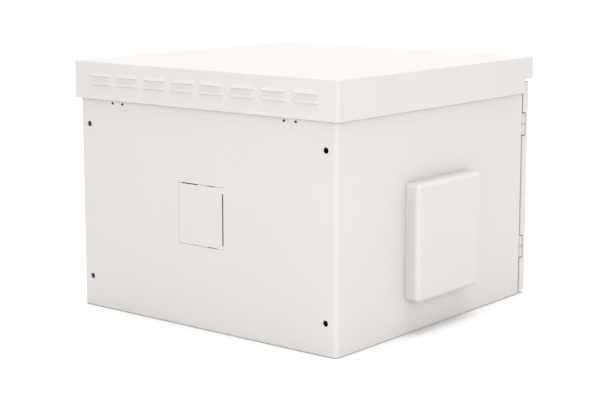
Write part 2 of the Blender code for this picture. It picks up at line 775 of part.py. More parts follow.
def finger_guard():
    """The guard on the room side of the fan: rings held by four spokes and a rim."""
    centre = (FAN_Y, FAN_Z)
    near = SPIGOT_INNER_X + GAP + FAN_THICKNESS + GAP
    half = GUARD_HALF
    outline = rounded(FAN_Y - half, FAN_Z - half, FAN_Y + half, FAN_Z + half, (0.008,) * 4, steps=2)
    slots = [
        ring_slot(centre, radius, radius + GUARD_SLOT, quarter)
        for radius in GUARD_RINGS for quarter in range(4)
    ]
    return finish(prism("finger_guard", "YZ", outline, near, near + GUARD_THICKNESS, slots), CHROME)


# ---- Mounting rails ----

def depth_bar(name, side, high):
    """A Z-section bar on the side wall, with two long slots that the rails' bolts slide in."""
    web = side * BAR_WEB_X
    web_out = side * (BAR_WEB_X + SHEET)
    wall = side * PAN_SIDE
    wall_in = side * (PAN_SIDE - SHEET)
    low = RAIL_BOTTOM - SHEET
    outline = [
        (web, low), (wall_in, low), (wall_in, low - BAR_WALL_FLANGE), (wall, low - BAR_WALL_FLANGE),
        (wall, low + SHEET), (web_out, low + SHEET), (web_out, low + BAR_WEB_HEIGHT),
        (web, low + BAR_WEB_HEIGHT),
    ]
    if high:
        outline = [(x, RAIL_BOTTOM + RAIL_TOP - z) for x, z in outline]
    bar = prism(name, "XZ", outline, -BAR_HALF_LENGTH, BAR_HALF_LENGTH)
    z = bolt_height(high)
    half = RAIL_BOLT_RADIUS + GAP
    front = FRONT_RAIL_Y + RAIL_BOLT_INSET
    rear = REAR_RAIL_Y - RAIL_BOLT_INSET
    margin = BAR_SLOT_MARGIN
    x_limits = sorted((web - side * 0.01, web_out + side * 0.01))
    slots = [
        box("slot", (x_limits[0], start - margin, z - half), (x_limits[1], end + margin, z + half))
        for start, end in ((front, front + FRONT_RAIL_TRAVEL), (rear - REAR_RAIL_TRAVEL, rear))
    ]
    return finish(cut(bar, *slots), ZINC)


def bolt_height(high):
    return RAIL_TOP - RAIL_BOLT_RISE if high else RAIL_BOTTOM + RAIL_BOLT_RISE


def rail(name, side, face, back):
    """An L-section rail with the 19-inch square holes. Its face is at one depth, and its flange goes back."""
    way = 1 if back > face else -1
    face_x = sorted((side * RAIL_INNER_X, side * RAIL_OUTER_X))
    holes = [
        square((side * RAIL_HOLE_X, RAIL_BOTTOM + unit * UNIT + rise), RAIL_HOLE_HALF)
        for unit in range(UNITS) for rise in UNIT_HOLES
    ]
    outline = rectangle(face_x[0], RAIL_BOTTOM, face_x[1], RAIL_TOP)
    profile = prism(name, "XZ", outline, face, face + way * SHEET, holes)
    flange_x = sorted((side * (RAIL_OUTER_X - SHEET), side * RAIL_OUTER_X))
    flange_y = sorted((face + way * 0.001, back))
    flange = rectangle(flange_x[0], flange_y[0], flange_x[1], flange_y[1])
    fuse(profile, prism("flange", "XY", flange, RAIL_BOTTOM, RAIL_TOP))
    bolt_y = face + way * RAIL_BOLT_INSET
    through = (flange_x[0] - 0.01, flange_x[1] + 0.01)
    bolt_holes = [
        prism("hole", "YZ", circle((bolt_y, bolt_height(high)), BOLT_HOLE_RADIUS, 12), *through)
        for high in (False, True)
    ]
    return finish(cut(profile, *bolt_holes), ZINC)


def rail_assembly(end, side_name, side):
    """One rail with its two bolts, hung on an empty where the rail's face is."""
    face = FRONT_RAIL_Y if end == "front" else REAR_RAIL_Y
    back = face + RAIL_FLANGE if end == "front" else face - RAIL_FLANGE
    bolt_y = face + RAIL_BOLT_INSET if end == "front" else face - RAIL_BOLT_INSET
    name = f"rail_{end}_{side_name}"
    members = [rail(name, side, face, back)]
    head = side * (RAIL_OUTER_X - SHEET - GAP)
    nut = side * (BAR_WEB_X + SHEET + GAP)
    for level, high in (("low", False), ("high", True)):
        members.append(hex_bolt(
            f"rail_bolt_{end}_{side_name}_{level}", "YZ", (bolt_y, bolt_height(high)),
            head, head - side * BOLT_HEAD, nut + side * (BOLT_NUT + BOLT_END), (nut, nut + side * BOLT_NUT),
        ))
    ride(f"{name}_slide", (side * RAIL_HOLE_X, face, RAIL_BOTTOM), members)


# ---- Door ----

def door_panel():
    """A folded steel door: front sheet, flanges, and a return all round that carries the seal."""
    door = prism("door_panel", "XZ", rectangle(-SIDE, DOOR_BOTTOM, SIDE, DOOR_TOP), DOOR_FRONT, DOOR_BACK)
    inside = rectangle(-SIDE + SHEET, DOOR_BOTTOM + SHEET, SIDE - SHEET, DOOR_TOP - SHEET)
    cut(door, prism("inside", "XZ", inside, DOOR_FRONT + SHEET, DOOR_BACK - SHEET))
    opening = rectangle(
        -SIDE + DOOR_RETURN, DOOR_BOTTOM + DOOR_RETURN, SIDE - DOOR_RETURN, DOOR_TOP - DOOR_RETURN
    )
    cut(door, prism("opening", "XZ", opening, DOOR_BACK - 0.003, DOOR_BACK + 0.01))
    notches = [hinge_notch("notch", bottom, DOOR_BACK + 0.01) for bottom in HINGE_BOTTOMS]
    lock_hole = prism(
        "hole", "XZ", circle((LOCK_X, LOCK_Z), LOCK_BARREL + LOCK_CLEARANCE, 24),
        DOOR_FRONT - 0.01, DOOR_FRONT + 0.01,
    )
    cut(door, *notches, lock_hole)
    return finish(door, PAINT)


def door_seal():
    """The foam strip on the door's return, notched round the hinges."""
    left = -SIDE + SEAL_INSET
    low = DOOR_BOTTOM + SEAL_INSET
    high = BODY_HEIGHT - SEAL_INSET
    outline = rectangle(left, low, -left, high)
    inner = rectangle(left + SEAL_WIDTH, low + SEAL_WIDTH, -left - SEAL_WIDTH, high - SEAL_WIDTH)
    back = FRONT - SEAL_REST
    seal = prism("door_seal", "XZ", outline, DOOR_BACK + GAP, back, [inner])
    notches = [hinge_notch("notch", bottom, back + 0.01) for bottom in HINGE_BOTTOMS]
    return finish(cut(seal, *notches), FOAM)


def hinge_half(name, low, high, stub_y):
    """Half of a lift-off hinge: a bored knuckle with a stub that reaches its sheet."""
    centre = (HINGE_X, HINGE_Y)
    knuckle = prism(name, "XY", circle(centre, HINGE_RADIUS, 20), low, high)
    reach = sorted((HINGE_Y, stub_y))
    fuse(knuckle, box("stub", (HINGE_X, reach[0], low), (HINGE_X + HINGE_RADIUS, reach[1], high)))
    cut(knuckle, prism("bore", "XY", circle(centre, HINGE_PIN_RADIUS + GAP, 20), low - 0.01, high + 0.01))
    return finish(knuckle, PAINT, smooth=True)


def hinge_pin(name, bottom):
    centre = (HINGE_X, HINGE_Y)
    radius = HINGE_PIN_RADIUS
    low = bottom + 0.001
    high = bottom + HINGE_HEIGHT - 0.001
    profile = [(0.6 * radius, low), (radius, low + 0.001), (radius, high - 0.001), (0.6 * radius, high)]
    return finish(turned(name, "XY", centre, profile, steps=16), ZINC, smooth=True)


def hinges():
    """Both hinges. The frame halves and pins stay on the body, and the door halves are returned."""
    door_halves = []
    for level, bottom in zip(("lower", "upper"), HINGE_BOTTOMS):
        frame_top = bottom + (HINGE_HEIGHT - HINGE_KNUCKLE_GAP) / 2
        door_bottom = frame_top + HINGE_KNUCKLE_GAP
        top = bottom + HINGE_HEIGHT
        hinge_half(f"hinge_{level}_frame_half", bottom, frame_top, FRONT - GAP)
        door_halves.append(
            hinge_half(f"hinge_{level}_door_half", door_bottom, top, DOOR_FRONT + SHEET + GAP)
        )
        hinge_pin(f"hinge_{level}_pin", bottom)
    return door_halves


# ---- Lock ----

def lock_housing():
    """The lock's body, with a rivet over the keyhole for the dust cap."""
    face = DOOR_FRONT - GAP
    front = face - LOCK_FLANGE_THICKNESS
    bore = LOCK_PLUG + LOCK_CLEARANCE
    back = FRONT + 0.0015
    profile = [
        (bore, front), (LOCK_FLANGE, front), (LOCK_FLANGE, face),
        (LOCK_BARREL, face), (LOCK_BARREL, back), (bore, back),
    ]
    housing = turned("lock_housing", "XZ", (LOCK_X, LOCK_Z), profile, steps=32, bored=True)
    pivot = (LOCK_X, LOCK_Z + CAP_PIVOT_RISE)
    under_head = front - CAP_THICKNESS - 0.0007
    top = under_head - RIVET_HEAD
    rivet = [
        (RIVET_RADIUS, front + 0.001), (RIVET_RADIUS, under_head),
        (RIVET_HEAD_RADIUS, under_head), (0.8 * RIVET_HEAD_RADIUS, top),
    ]
    fuse(housing, turned("rivet", "XZ", pivot, rivet, steps=12))
    return finish(housing, CHROME, smooth=True)


def lock_nut():
    near = DOOR_FRONT + SHEET + GAP
    centre = (LOCK_X, LOCK_Z)
    far = near + LOCK_NUT_THICKNESS
    bore = circle(centre, LOCK_BARREL + LOCK_CLEARANCE, 24)
    return finish(prism("lock_nut", "XZ", circle(centre, LOCK_NUT_RADIUS, 6), near, far, [bore]), ZINC)


def lock_plug():
    """The key plug, with its keyhole in front and a square tail for the cam."""
    centre = (LOCK_X, LOCK_Z)
    front = DOOR_FRONT - GAP - LOCK_FLANGE_THICKNESS + LOCK_PLUG_RECESS
    shoulder = CAM_FRONT - 0.0008
    plug = prism("lock_plug", "XZ", circle(centre, LOCK_PLUG, 24), front, shoulder)
    tail_end = CAM_FRONT + CAM_THICKNESS + 0.003
    fuse(plug, prism("tail", "XZ", square(centre, LOCK_TAIL_HALF), shoulder - 0.001, tail_end))
    keyhole = rectangle(
        LOCK_X - KEYHOLE_HALF_WIDTH, LOCK_Z - KEYHOLE_HALF_HEIGHT,
        LOCK_X + KEYHOLE_HALF_WIDTH, LOCK_Z + KEYHOLE_HALF_HEIGHT,
    )
    cut(plug, prism("keyhole", "XZ", keyhole, front - 0.01, front + 0.008))
    return finish(plug, CHROME, smooth=True)


def lock_cam():
    """The locking cam. It hangs straight down when the door is free to open."""
    side = CAM_HALF_WIDTH
    centre = (LOCK_X, LOCK_Z)
    tip = (LOCK_X, LOCK_Z - CAM_LENGTH + side)
    outline = arc(centre, side, 0, 180, 8) + arc(tip, side, 180, 360, 8)
    hole = square(centre, LOCK_TAIL_HALF + GAP)
    return finish(prism("lock_cam", "XZ", outline, CAM_FRONT, CAM_FRONT + CAM_THICKNESS, [hole]), ZINC)


def lock_cap():
    """The dust cap that hangs from its rivet over the keyhole."""
    centre = (LOCK_X, LOCK_Z)
    pivot = (LOCK_X, LOCK_Z + CAP_PIVOT_RISE)
    back = DOOR_FRONT - GAP - LOCK_FLANGE_THICKNESS - LOCK_CLEARANCE
    outline = arc(centre, CAP_RADIUS, -245, 65, 18) + arc(pivot, CAP_EAR_RADIUS, 20, 160, 6)
    hole = circle(pivot, CAP_HOLE_RADIUS, 10)
    cap = prism("lock_cap", "XZ", outline, back - CAP_THICKNESS, back, [hole])
    return finish(cap, CHROME, smooth=True)


# ---- Thermostat ----

def thermostat_body():
    near = PAN_SIDE
    low = THERMOSTAT_Z - THERMOSTAT_HALF_Z
    high = THERMOSTAT_Z + THERMOSTAT_HALF_Z
    outline = rounded(-THERMOSTAT_HALF_Y, low, THERMOSTAT_HALF_Y, high, (0.002,) * 4, steps=2)
    return finish(prism("thermostat_body", "YZ", outline, near - THERMOSTAT_DEPTH, near), LIGHT_PLASTIC)


def thermostat_dial():
    """The setting dial, with a pointer groove across its face."""
    back = PAN_SIDE - THERMOSTAT_DEPTH - GAP
    face = back - DIAL_THICKNESS
    rim = face + DIAL_GROOVE
    centre = (0, THERMOSTAT_Z + DIAL_RISE)
    profile = [(DIAL_RADIUS, back), (DIAL_RADIUS, rim), (DIAL_RADIUS - 0.0010, face)]
    dial = turned("thermostat_dial", "YZ", centre, profile, steps=24)
    half = DIAL_GROOVE
    groove = rectangle(-half, centre[1] + 0.002, half, centre[1] + DIAL_RADIUS + 0.0005)
    cut(dial, prism("groove", "YZ", groove, face - 0.001, rim))
    return finish(dial, BLACK_PLASTIC, smooth=True)


# ---- The whole cabinet ----

def build_body():
    body_wrap()
    floor_pan()
    ceiling_pan()
    front_frame()
    strike_plate()
    for side_name, side in (("left", -1), ("right", 1)):
        ceiling_bracket(f"ceiling_bracket_{side_name}", side)
        roof_spacer(f"roof_spacer_{side_name}", side)
        depth_bar(f"depth_bar_{side_name}_low", side, False)
        depth_bar(f"depth_bar_{side_name}_high", side, True)
    for i, place in enumerate(rear_screw_places()):
        bracket_screw(f"bracket_screw_{i + 1}", place)
    rear_knockout()
    rear_entry_parts()
    floor_entry_parts()
    roof_canopy()
    roof_screws()


def build_fan():
    fan_hood()
    filter_frame()
    filter_mat()
    fan_housing()
    finger_guard()
    ride("fan_axis", (SPIGOT_INNER_X, FAN_Y, FAN_Z), [fan_rotor()])


def build_door():
    members = [door_panel(), door_seal(), *hinges(), lock_housing(), lock_nut()]
    door_axis = ride("door_axis", (HINGE_X, HINGE_Y, 0), members)
    lock_axis = ride("lock_axis", (LOCK_X, DOOR_FRONT, LOCK_Z), [lock_plug(), lock_cam()])
    cap_axis = ride("cap_axis", (LOCK_X, DOOR_FRONT, LOCK_Z + CAP_PIVOT_RISE), [lock_cap()])
    for axis in (lock_axis, cap_axis):
        axis.parent = door_axis
        axis.location -= door_axis.location


def build_thermostat():
    thermostat_body()
    ride("dial_axis", (PAN_SIDE - THERMOSTAT_DEPTH, 0, THERMOSTAT_Z + DIAL_RISE), [thermostat_dial()])


def main():
    clear_scene()
    build_body()
    build_fan()
    build_door()
    build_thermostat()
    for end in ("front", "rear"):
        for side_name, side in (("left", -1), ("right", 1)):
            rail_assembly(end, side_name, side)


main()
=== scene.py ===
"""Looks for the seven-unit outdoor wall cabinet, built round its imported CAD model.

Every length is in metres and every piece lies where the CAD model has it: +Z is up, the door faces -Y, and
the hinges and the filter fan are at -X. Places come from the CAD nodes' own boxes.
"""

import json
import math

import bmesh
import bpy
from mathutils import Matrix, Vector, noise
from mathutils.geometry import tessellate_polygon


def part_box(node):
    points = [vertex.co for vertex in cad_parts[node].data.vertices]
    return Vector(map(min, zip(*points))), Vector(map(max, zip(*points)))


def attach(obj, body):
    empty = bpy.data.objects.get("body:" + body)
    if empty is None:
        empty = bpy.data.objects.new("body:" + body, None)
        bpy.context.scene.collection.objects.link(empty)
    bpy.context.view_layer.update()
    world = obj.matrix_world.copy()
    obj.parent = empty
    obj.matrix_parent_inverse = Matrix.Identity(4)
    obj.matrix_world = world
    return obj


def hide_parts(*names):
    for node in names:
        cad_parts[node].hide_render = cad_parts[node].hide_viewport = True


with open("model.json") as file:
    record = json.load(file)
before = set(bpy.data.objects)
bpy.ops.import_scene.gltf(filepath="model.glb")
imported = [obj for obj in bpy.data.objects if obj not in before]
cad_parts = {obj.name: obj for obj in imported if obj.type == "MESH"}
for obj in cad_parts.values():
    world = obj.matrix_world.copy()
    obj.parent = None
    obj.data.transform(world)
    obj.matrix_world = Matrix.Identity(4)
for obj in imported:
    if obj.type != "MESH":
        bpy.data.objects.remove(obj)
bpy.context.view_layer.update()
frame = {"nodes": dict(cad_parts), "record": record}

BODY_OF = {node: body for body, nodes in frame["record"]["behaviour"]["bodies"].items() for node in nodes}
SLOT_OF = {part["node"]: part["material_slot"] for part in frame["record"]["subparts"]}

# Sheet metal. PAN_EDGE is where a pan's path starts on its flat face, and THROUGH is how far a cutter
# reaches past a sheet.
SHEET = 0.002
ROOF_SHEET = 0.0015
EDGE = 0.00035
GAP = 0.0003
WRAP_BEND = 0.008
PAN_BEND = 0.006
PAN_EDGE = 0.020
FOLD = 0.0025
THROUGH = 0.01
THROUGH_RAIL = 0.005
AWAY = 0.1

# Solids that are fused reach this far into each other.
OVERLAP = 0.001

# Screws and threads. Crest and root are shares of a turn.
THREAD_CREST = 0.15
THREAD_ROOT = 0.6
HEX_FACE = 0.88
HEX_CHAMFER = 0.0017
FINE_EDGE = 0.0002

# Rear wall.
WALL_HOLE_X = 0.277
WALL_HOLE_Z = (0.0555, 0.343)
WALL_HOLE_RADIUS = 0.0053
BRACKET_BEND = 0.0045
BRACKET_SHEET = 0.003
SCREW_HOLE = 0.0017
SCREW_SHAFT = 0.0013
SCREW_RISE = 0.0015
SCREW_CROWN = 0.3
SCREW_SOCKET = 0.4
SOCKET_FLOOR = 0.0005
ENTRY_LAP = 0.014
ENTRY_CORNER = 0.003
FOAM_EDGE = 0.0008

# Ceiling's outlet slots.
OUTLET_ROWS = 9
OUTLET_PITCH = 0.015
OUTLET_HALF_LENGTH = 0.080
OUTLET_HALF_WIDTH = 0.0025

# Canopy and its louvres.
ROOF_CORNER = 0.004
ROOF_FOLD = 0.0025
SKIRT_STEP_Y = -0.2860
FRONT_SKIRT_BOTTOM = 0.418
LOUVRE_COLUMNS = 8
LOUVRE_MIDDLE = (LOUVRE_COLUMNS - 1) / 2
LOUVRE_PITCH = 0.0685
LOUVRE_HALF_WIDTH = 0.0275
LOUVRE_END = 0.0040
LOUVRE_HEIGHT = 0.0075
LOUVRE_DEPTH = 0.003
LOUVRE_LIPS = (0.4335, 0.4185)
LOUVRE_STEPS = 8
LOUVRE_CREST = 0.011

# Fan. A blade's pairs of values are at its root and at its tip.
HOOD_CORNER = 0.011
HOOD_ROUND = 0.009
HOOD_WALL = 0.0028
HOOD_EDGE = 0.030
HOOD_MOUTH_HALF = 0.085
FAN_OPENING_HALF = 0.0883
FAN_OPENING_CORNER = 0.002
FLEECE_CELL = 0.006
FLEECE_LIFT = 0.0006
FLEECE_WAVES = 90
FLEECE_TUFTS = 400
FAN_BORE = 0.057
FAN_DUCT_WALL = 0.0023
FAN_FLANGE = 0.0036
FAN_CORNER = 0.006
FAN_SCREW = 0.0525
FAN_EYE = 0.0022
STRUT_HALF = 0.0030
STRUT_THICKNESS = 0.004
MOTOR_BASE = 0.0240
HUB = 0.021
HUB_ROUND = 0.002
FAN_BLADES = 7
BLADE_STEPS = 8
BLADE_MARGIN = 0.001
BLADE_CAMBER = 0.0016
BLADE_LEAN = 0.10
BLADE_RADIUS = (0.0195, 0.0550)
BLADE_SWEEP = (0.30, 0.37)
BLADE_DEPTH = (0.86, 0.6192)
BLADE_THICKNESS = (0.0011, 0.0007)
GUARD_WIRE = 0.0006
GUARD_RINGS = 7
GUARD_FIRST_RING = 0.0085
GUARD_PITCH = 0.0078
GUARD_EYE = 0.0031

# 19-inch rails.
UNIT = 0.04445
UNITS = 7
UNIT_HOLES = (0.00635, 0.022225, 0.0381)
RAIL_HOLE_X = 0.23255
RAIL_HOLE_HALF = 0.00475
RAIL_TRAVEL = {"front": 0.130, "rear": -0.150}
RAIL_HOLE_CORNER = 0.0005
SLOT_HALF = 0.0033
SLOT_PAST_BOLT = 0.008
BAR_KNEE = 0.020
BOLT_HOLE = 0.0034
BOLT_HEX_RADIUS = 0.0055
BOLT_HEAD = 0.004
BOLT_RADIUS = 0.0030
BOLT_PITCH = 0.0010
BOLT_THREAD = 0.00035
NUT_FROM_TIP = 0.007
NUT_HEIGHT = 0.005

# Door, hinges and lock.
DOOR_RETURN = 0.022
DOOR_CORNER = 0.0020
DOOR_EDGE = 0.012
SEAL_WIDTH = 0.018
SEAL_EDGE = 0.0014
HINGE_MARGIN = 0.0015
HINGE_NOTCH_X = -0.2885
HINGE_NOTCH_Y = -0.3035
HINGE_NOTCH_REACH = 0.001
HINGE_RADIUS = 0.0045
HINGE_BORE = 0.0023
HINGE_CHAMFER = 0.0005
HINGE_STUB = 0.0019
LOCK_HOLE_RADIUS = 0.0104
LOCK_FLANGE = 0.015
LOCK_FLANGE_THICKNESS = 0.004
LOCK_FLANGE_ROUND = 0.002
LOCK_BARREL = 0.010
LOCK_NECK = 0.003
LOCK_PITCH = 0.0012
LOCK_THREAD = 0.0005
LOCK_PLUG = 0.0064
LOCK_CLEARANCE = 0.0004
LOCK_PLUG_CHAMFER = 0.0006
LOCK_TAIL_HALF = 0.004
KEYHOLE = ((0.0016, 0.0008, 0.0002), (0.0008, 0.0042, 0))
KEYHOLE_DEPTH = 0.008
RIVET_HEAD = 0.0020
RIVET_RISE = 0.0008
RIVET_SHAFT = 0.0010
CAP_PIVOT_RISE = 0.012
CAP_RADIUS = 0.0092
CAP_EYE = 0.0026
CAP_HOLE = 0.0014

# Thermostat.
CASE_CORNER = 0.002
AIR_SLOTS = (0.005, 0.008, 0.011, 0.014)
AIR_SLOT_REACH = 0.010
AIR_SLOT_HALF = 0.0007
AIR_SLOT_DEPTH = 0.005
VENTS = 6
VENT_PITCH = 0.004
VENT_WIDTH = 0.0015
VENT_MARGIN = 0.008
VENT_DEPTH = 0.0012
DIAL_MARKS = 7
DIAL_MARK_START = 0.0126
DIAL_MARK_LENGTH = 0.0014
DIAL_MARK_RADIUS = 0.00025
DIAL_MARK_RISE = 0.0003
DIAL_RIDGES = 36
DIAL_RIDGE = 0.0003
DIAL_EDGE = 0.0008
DIAL_GROOVE = (0.002, 0.0105)
DIAL_GROOVE_HALF = 0.0007

# Studio.
WORLD_STRENGTH = 1.0
FLOOR_HALF = 40
FLOOR_HEIGHT = -0.0012
SUN_STRENGTH = 2.35
SUN_SPREAD = 35
SOFTBOXES = {
    "key": ((-3.05, 3.25, 1.2), 1.6, 89),
    "front_fill": ((0.1, -3.8, 1.6), 2.0, 35),
}
SOFTBOX_TARGET = (0, 0, 0.22)
FLOOR_TONES = (0.715, 0.725)
CAMERA_PLACE = (-1.717, 2.133, 0.682)
CAMERA_YAW = 39.0
CAMERA_PITCH = -9.0
CAMERA_LENS = 87.9
CAMERA_SHIFT = -0.05

PLANES = {
    "XY": lambda u, v, w: (u, v, w),
    "XZ": lambda u, v, w: (u, w, v),
    "YZ": lambda u, v, w: (w, u, v),
}


# ---- Outlines ----

def rectangle(left, low, right, high):
    return [(left, low), (right, low), (right, high), (left, high)]


def around(centre, half_u, half_v=None):
    """The limits of a rectangle round a point, or of a square where only one half is given."""
    half_v = half_v or half_u
    return (centre[0] - half_u, centre[1] - half_v, centre[0] + half_u, centre[1] + half_v)


def arc(centre, radius, start, end, steps):
    """Points from one angle to another, in degrees, both ends included."""
    angles = [math.radians(start + (end - start) * i / steps) for i in range(steps + 1)]
    return [(centre[0] + radius * math.cos(a), centre[1] + radius * math.sin(a)) for a in angles]


def circle(centre, radius, sides):
    return arc(centre, radius, 0, 360, sides)[:-1]


def rounded(left, low, right, high, radii, steps=6):
    """A rectangle whose corners, from the low left one round to the high left one, have these radii."""
    corners = [(left, low, 1, 1), (right, low, -1, 1), (right, high, -1, -1), (left, high, 1, -1)]
    points = []
    for turn, ((x, y, x_way, y_way), radius) in enumerate(zip(corners, radii)):
        if radius:
            centre = (x + x_way * radius, y + y_way * radius)
            points += arc(centre, radius, 180 + 90 * turn, 270 + 90 * turn, steps)
        else:
            points.append((x, y))
    return points


def slot_outline(start, end, across, half):
    """A long hole with round ends, along its plane's first direction."""
    return arc((start + half, across), half, 270, 90, 8) + arc((end - half, across), half, 90, -90, 8)


def quarter_turn(steps):
    """Angles from 0 to 90 degrees."""
    return [math.radians(90 * i / steps) for i in range(steps + 1)]


def rounded_rim(radius, face, fillet):
    """The profile of a disc's rounded rim, as (radius, distance) pairs from its face on."""
    return [
        (radius - fillet * (1 - math.sin(a)), face + fillet * (1 - math.cos(a))) for a in quarter_turn(6)
    ]


def filleted(path, radius, steps=6):
    """An open path whose inner corners are arcs of this radius."""
    points = [tuple(path[0])]
    for before, corner, after in zip(path, path[1:], path[2:]):
        corner = Vector(corner)
        back = (Vector(before) - corner).normalized()
        ahead = (Vector(after) - corner).normalized()
        half = back.angle(ahead) / 2
        centre = corner + (back + ahead).normalized() * radius / math.sin(half)
        reach = radius / math.tan(half)
        first = corner + back * reach - centre
        last = corner + ahead * reach - centre
        start = math.atan2(first.y, first.x)
        turn = math.remainder(math.atan2(last.y, last.x) - start, 2 * math.pi)
        points += arc(centre, radius, math.degrees(start), math.degrees(start + turn), steps)
    return [*points, tuple(path[-1])]


# ---- Meshes ----

def placed(name, data):
    """A new object in the scene."""
    obj = bpy.data.objects.new(name, data)
    bpy.context.scene.collection.objects.link(obj)
    return obj


def shape_object(name, shape):
    """A new object from a bmesh, which is freed."""
    mesh = bpy.data.meshes.new(name)
    shape.to_mesh(mesh)
    shape.free()
    return placed(name, mesh)


def mesh_object(name, points, faces, outwards=True):
    mesh = bpy.data.meshes.new(name)
    mesh.from_pydata(points, [], faces)
    clean(mesh, True, outwards)
    return placed(name, mesh)


def clean(mesh, merge=False, outwards=True):
    """Merges points that coincide, or turns every face to the outside, or both."""
    shape = bmesh.new()
    shape.from_mesh(mesh)
    if merge:
        bmesh.ops.remove_doubles(shape, verts=shape.verts, dist=1e-6)
    if outwards:
        bmesh.ops.recalc_face_normals(shape, faces=shape.faces)
    shape.to_mesh(mesh)
    shape.free()


def prism(name, plane, outline, start, end, holes=()):
    """An outline, less its holes, drawn from start to end along its plane's normal."""
    place = PLANES[plane]
    loops = [outline, *holes]
    flat = [point for loop in loops for point in loop]
    triangles = tessellate_polygon([[Vector((u, v, 0)) for u, v in loop] for loop in loops])
    count = len(flat)
    points = [place(u, v, w) for w in (start, end) for u, v in flat]
    faces = [tuple(i + shift for i in triangle) for shift in (0, count) for triangle in triangles]
    first = 0
    for loop in loops:
        ring = range(first, first + len(loop))
        for a, b in zip(ring, [*ring[1:], ring[0]]):
            faces.append((a, b, b + count, a + count))
        first += len(loop)
    return mesh_object(name, points, faces)


def box(name, low, high):
    return prism(name, "XY", rectangle(low[0], low[1], high[0], high[1]), low[2], high[2])


def grid_faces(rows, columns, closed, skip=None):
    """Quads between rows of points, which may close on themselves. skip(row, column) leaves one out."""
    faces = []
    for i in range(rows - 1):
        for j in range(columns if closed else columns - 1):
            k = (j + 1) % columns
            if not (skip and skip(i, j)):
                faces.append((i * columns + j, i * columns + k, (i + 1) * columns + k, (i + 1) * columns + j))
    return faces


def loft(name, rows, cap_first=True, cap_last=True, skip=None):
    """A solid through rings of points, or an open skin where a cap or a face is left out."""
    columns = len(rows[0])
    faces = grid_faces(len(rows), columns, True, skip)
    if cap_first:
        faces.append(tuple(range(columns)))
    if cap_last:
        faces.append(tuple(range((len(rows) - 1) * columns, len(rows) * columns)))
    return mesh_object(name, [point for row in rows for point in row], faces)


def turned(name, plane, centre, profile, steps=48, bored=False):
    """A profile of (radius, distance) pairs turned about the plane's normal. A bored one closes on itself."""
    place = PLANES[plane]
    rows = [[place(u, v, w) for u, v in circle(centre, radius, steps)] for radius, w in profile]
    if bored:
        rows.append(rows[0])
    return loft(name, rows, not bored, not bored)


def evaluated(obj):
    """Applies the object's modifiers to its mesh."""
    graph = bpy.context.evaluated_depsgraph_get()
    mesh = bpy.data.meshes.new_from_object(obj.evaluated_get(graph))
    obj.modifiers.clear()
    obj.data = mesh
    return obj


def thickened(obj, sheet, outside):
    """Gives a skin its thickness, on the side away from this point, which lies on the skin's outer side."""
    face = obj.data.polygons[-1]
    facing = face.normal.dot(Vector(outside) - face.center)
    modifier = obj.modifiers.new("Sheet", "SOLIDIFY")
    modifier.thickness = sheet
    modifier.offset = -1 if facing > 0 else 1
    modifier.use_even_offset = True
    clean(evaluated(obj).data)
    return obj


def joined(tools, name="tools"):
    shape = bmesh.new()
    for tool in tools:
        shape.from_mesh(tool.data)
        bpy.data.objects.remove(tool)
    return shape_object(name, shape)


def combine(target, operation, tools):
    tool = joined(tools)
    modifier = target.modifiers.new(operation.title(), "BOOLEAN")
    modifier.operation = operation
    modifier.object = tool
    evaluated(target)
    bpy.data.objects.remove(tool)
    return target


def cut(target, *tools):
    return combine(target, "DIFFERENCE", tools)


def fuse(target, *tools):
    for tool in tools:
        combine(target, "UNION", [tool])
    return target


def folded(name, plane, path, radius, sheet, limits, outside):
    """A strip of sheet metal bent along a path and drawn along the plane's normal."""
    place = PLANES[plane]
    bends = filleted(path, radius)
    points = [place(u, v, w) for w in limits for u, v in bends]
    strip = mesh_object(name, points, grid_faces(2, len(bends), False), outwards=False)
    return thickened(strip, sheet, place(*outside, sum(limits) / 2))


def pan(name, plane, limits, radii, path, fold, sheet, outside):
    """Sheet metal folded all round a rectangle. The path gives (inset, distance), from the flat face out."""
    place = PLANES[plane]
    left, low, right, high = limits
    rows = []
    for inset, distance in filleted(path, fold):
        corner = [max(radius - inset, EDGE) if radius else 0 for radius in radii]
        outline = rounded(left + inset, low + inset, right - inset, high - inset, corner)
        rows.append([place(u, v, distance) for u, v in outline])
    return thickened(loft(name, rows, cap_last=False), sheet, outside)


def round_edges(obj, width, segments=2, angle=40):
    """Rounds the edges as deburring and paint do, and keeps flat faces flat in the shading."""
    bevel = obj.modifiers.new("Edges", "BEVEL")
    bevel.width = width
    bevel.segments = segments
    bevel.limit_method = "ANGLE"
    bevel.angle_limit = math.radians(angle)
    normals = obj.modifiers.new("Shading", "WEIGHTED_NORMAL")
    normals.keep_sharp = True


def softened(obj, width=EDGE, segments=2, angle=40):
    """A new piece with its edges rounded and its faces shaded smoothly."""
    obj.data.shade_smooth()
    round_edges(obj, width, segments, angle)
    return obj


def smoothed(obj, angle):
    """A new piece whose faces are shaded smoothly, except across edges sharper than this angle."""
    obj.data.shade_smooth()
    obj.data.set_sharp_from_angle(angle=math.radians(angle))
    return obj


def painted(obj, node):
    obj.data.materials.clear()
    obj.data.materials.append(MATERIALS[SLOT_OF[node]])


def stand_in(obj, *nodes):
    """The piece takes the place of these CAD nodes, on the body and with the finish of the first."""
    painted(obj, nodes[0])
    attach(obj, BODY_OF[nodes[0]])
    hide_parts(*nodes)


# ---- Materials ----

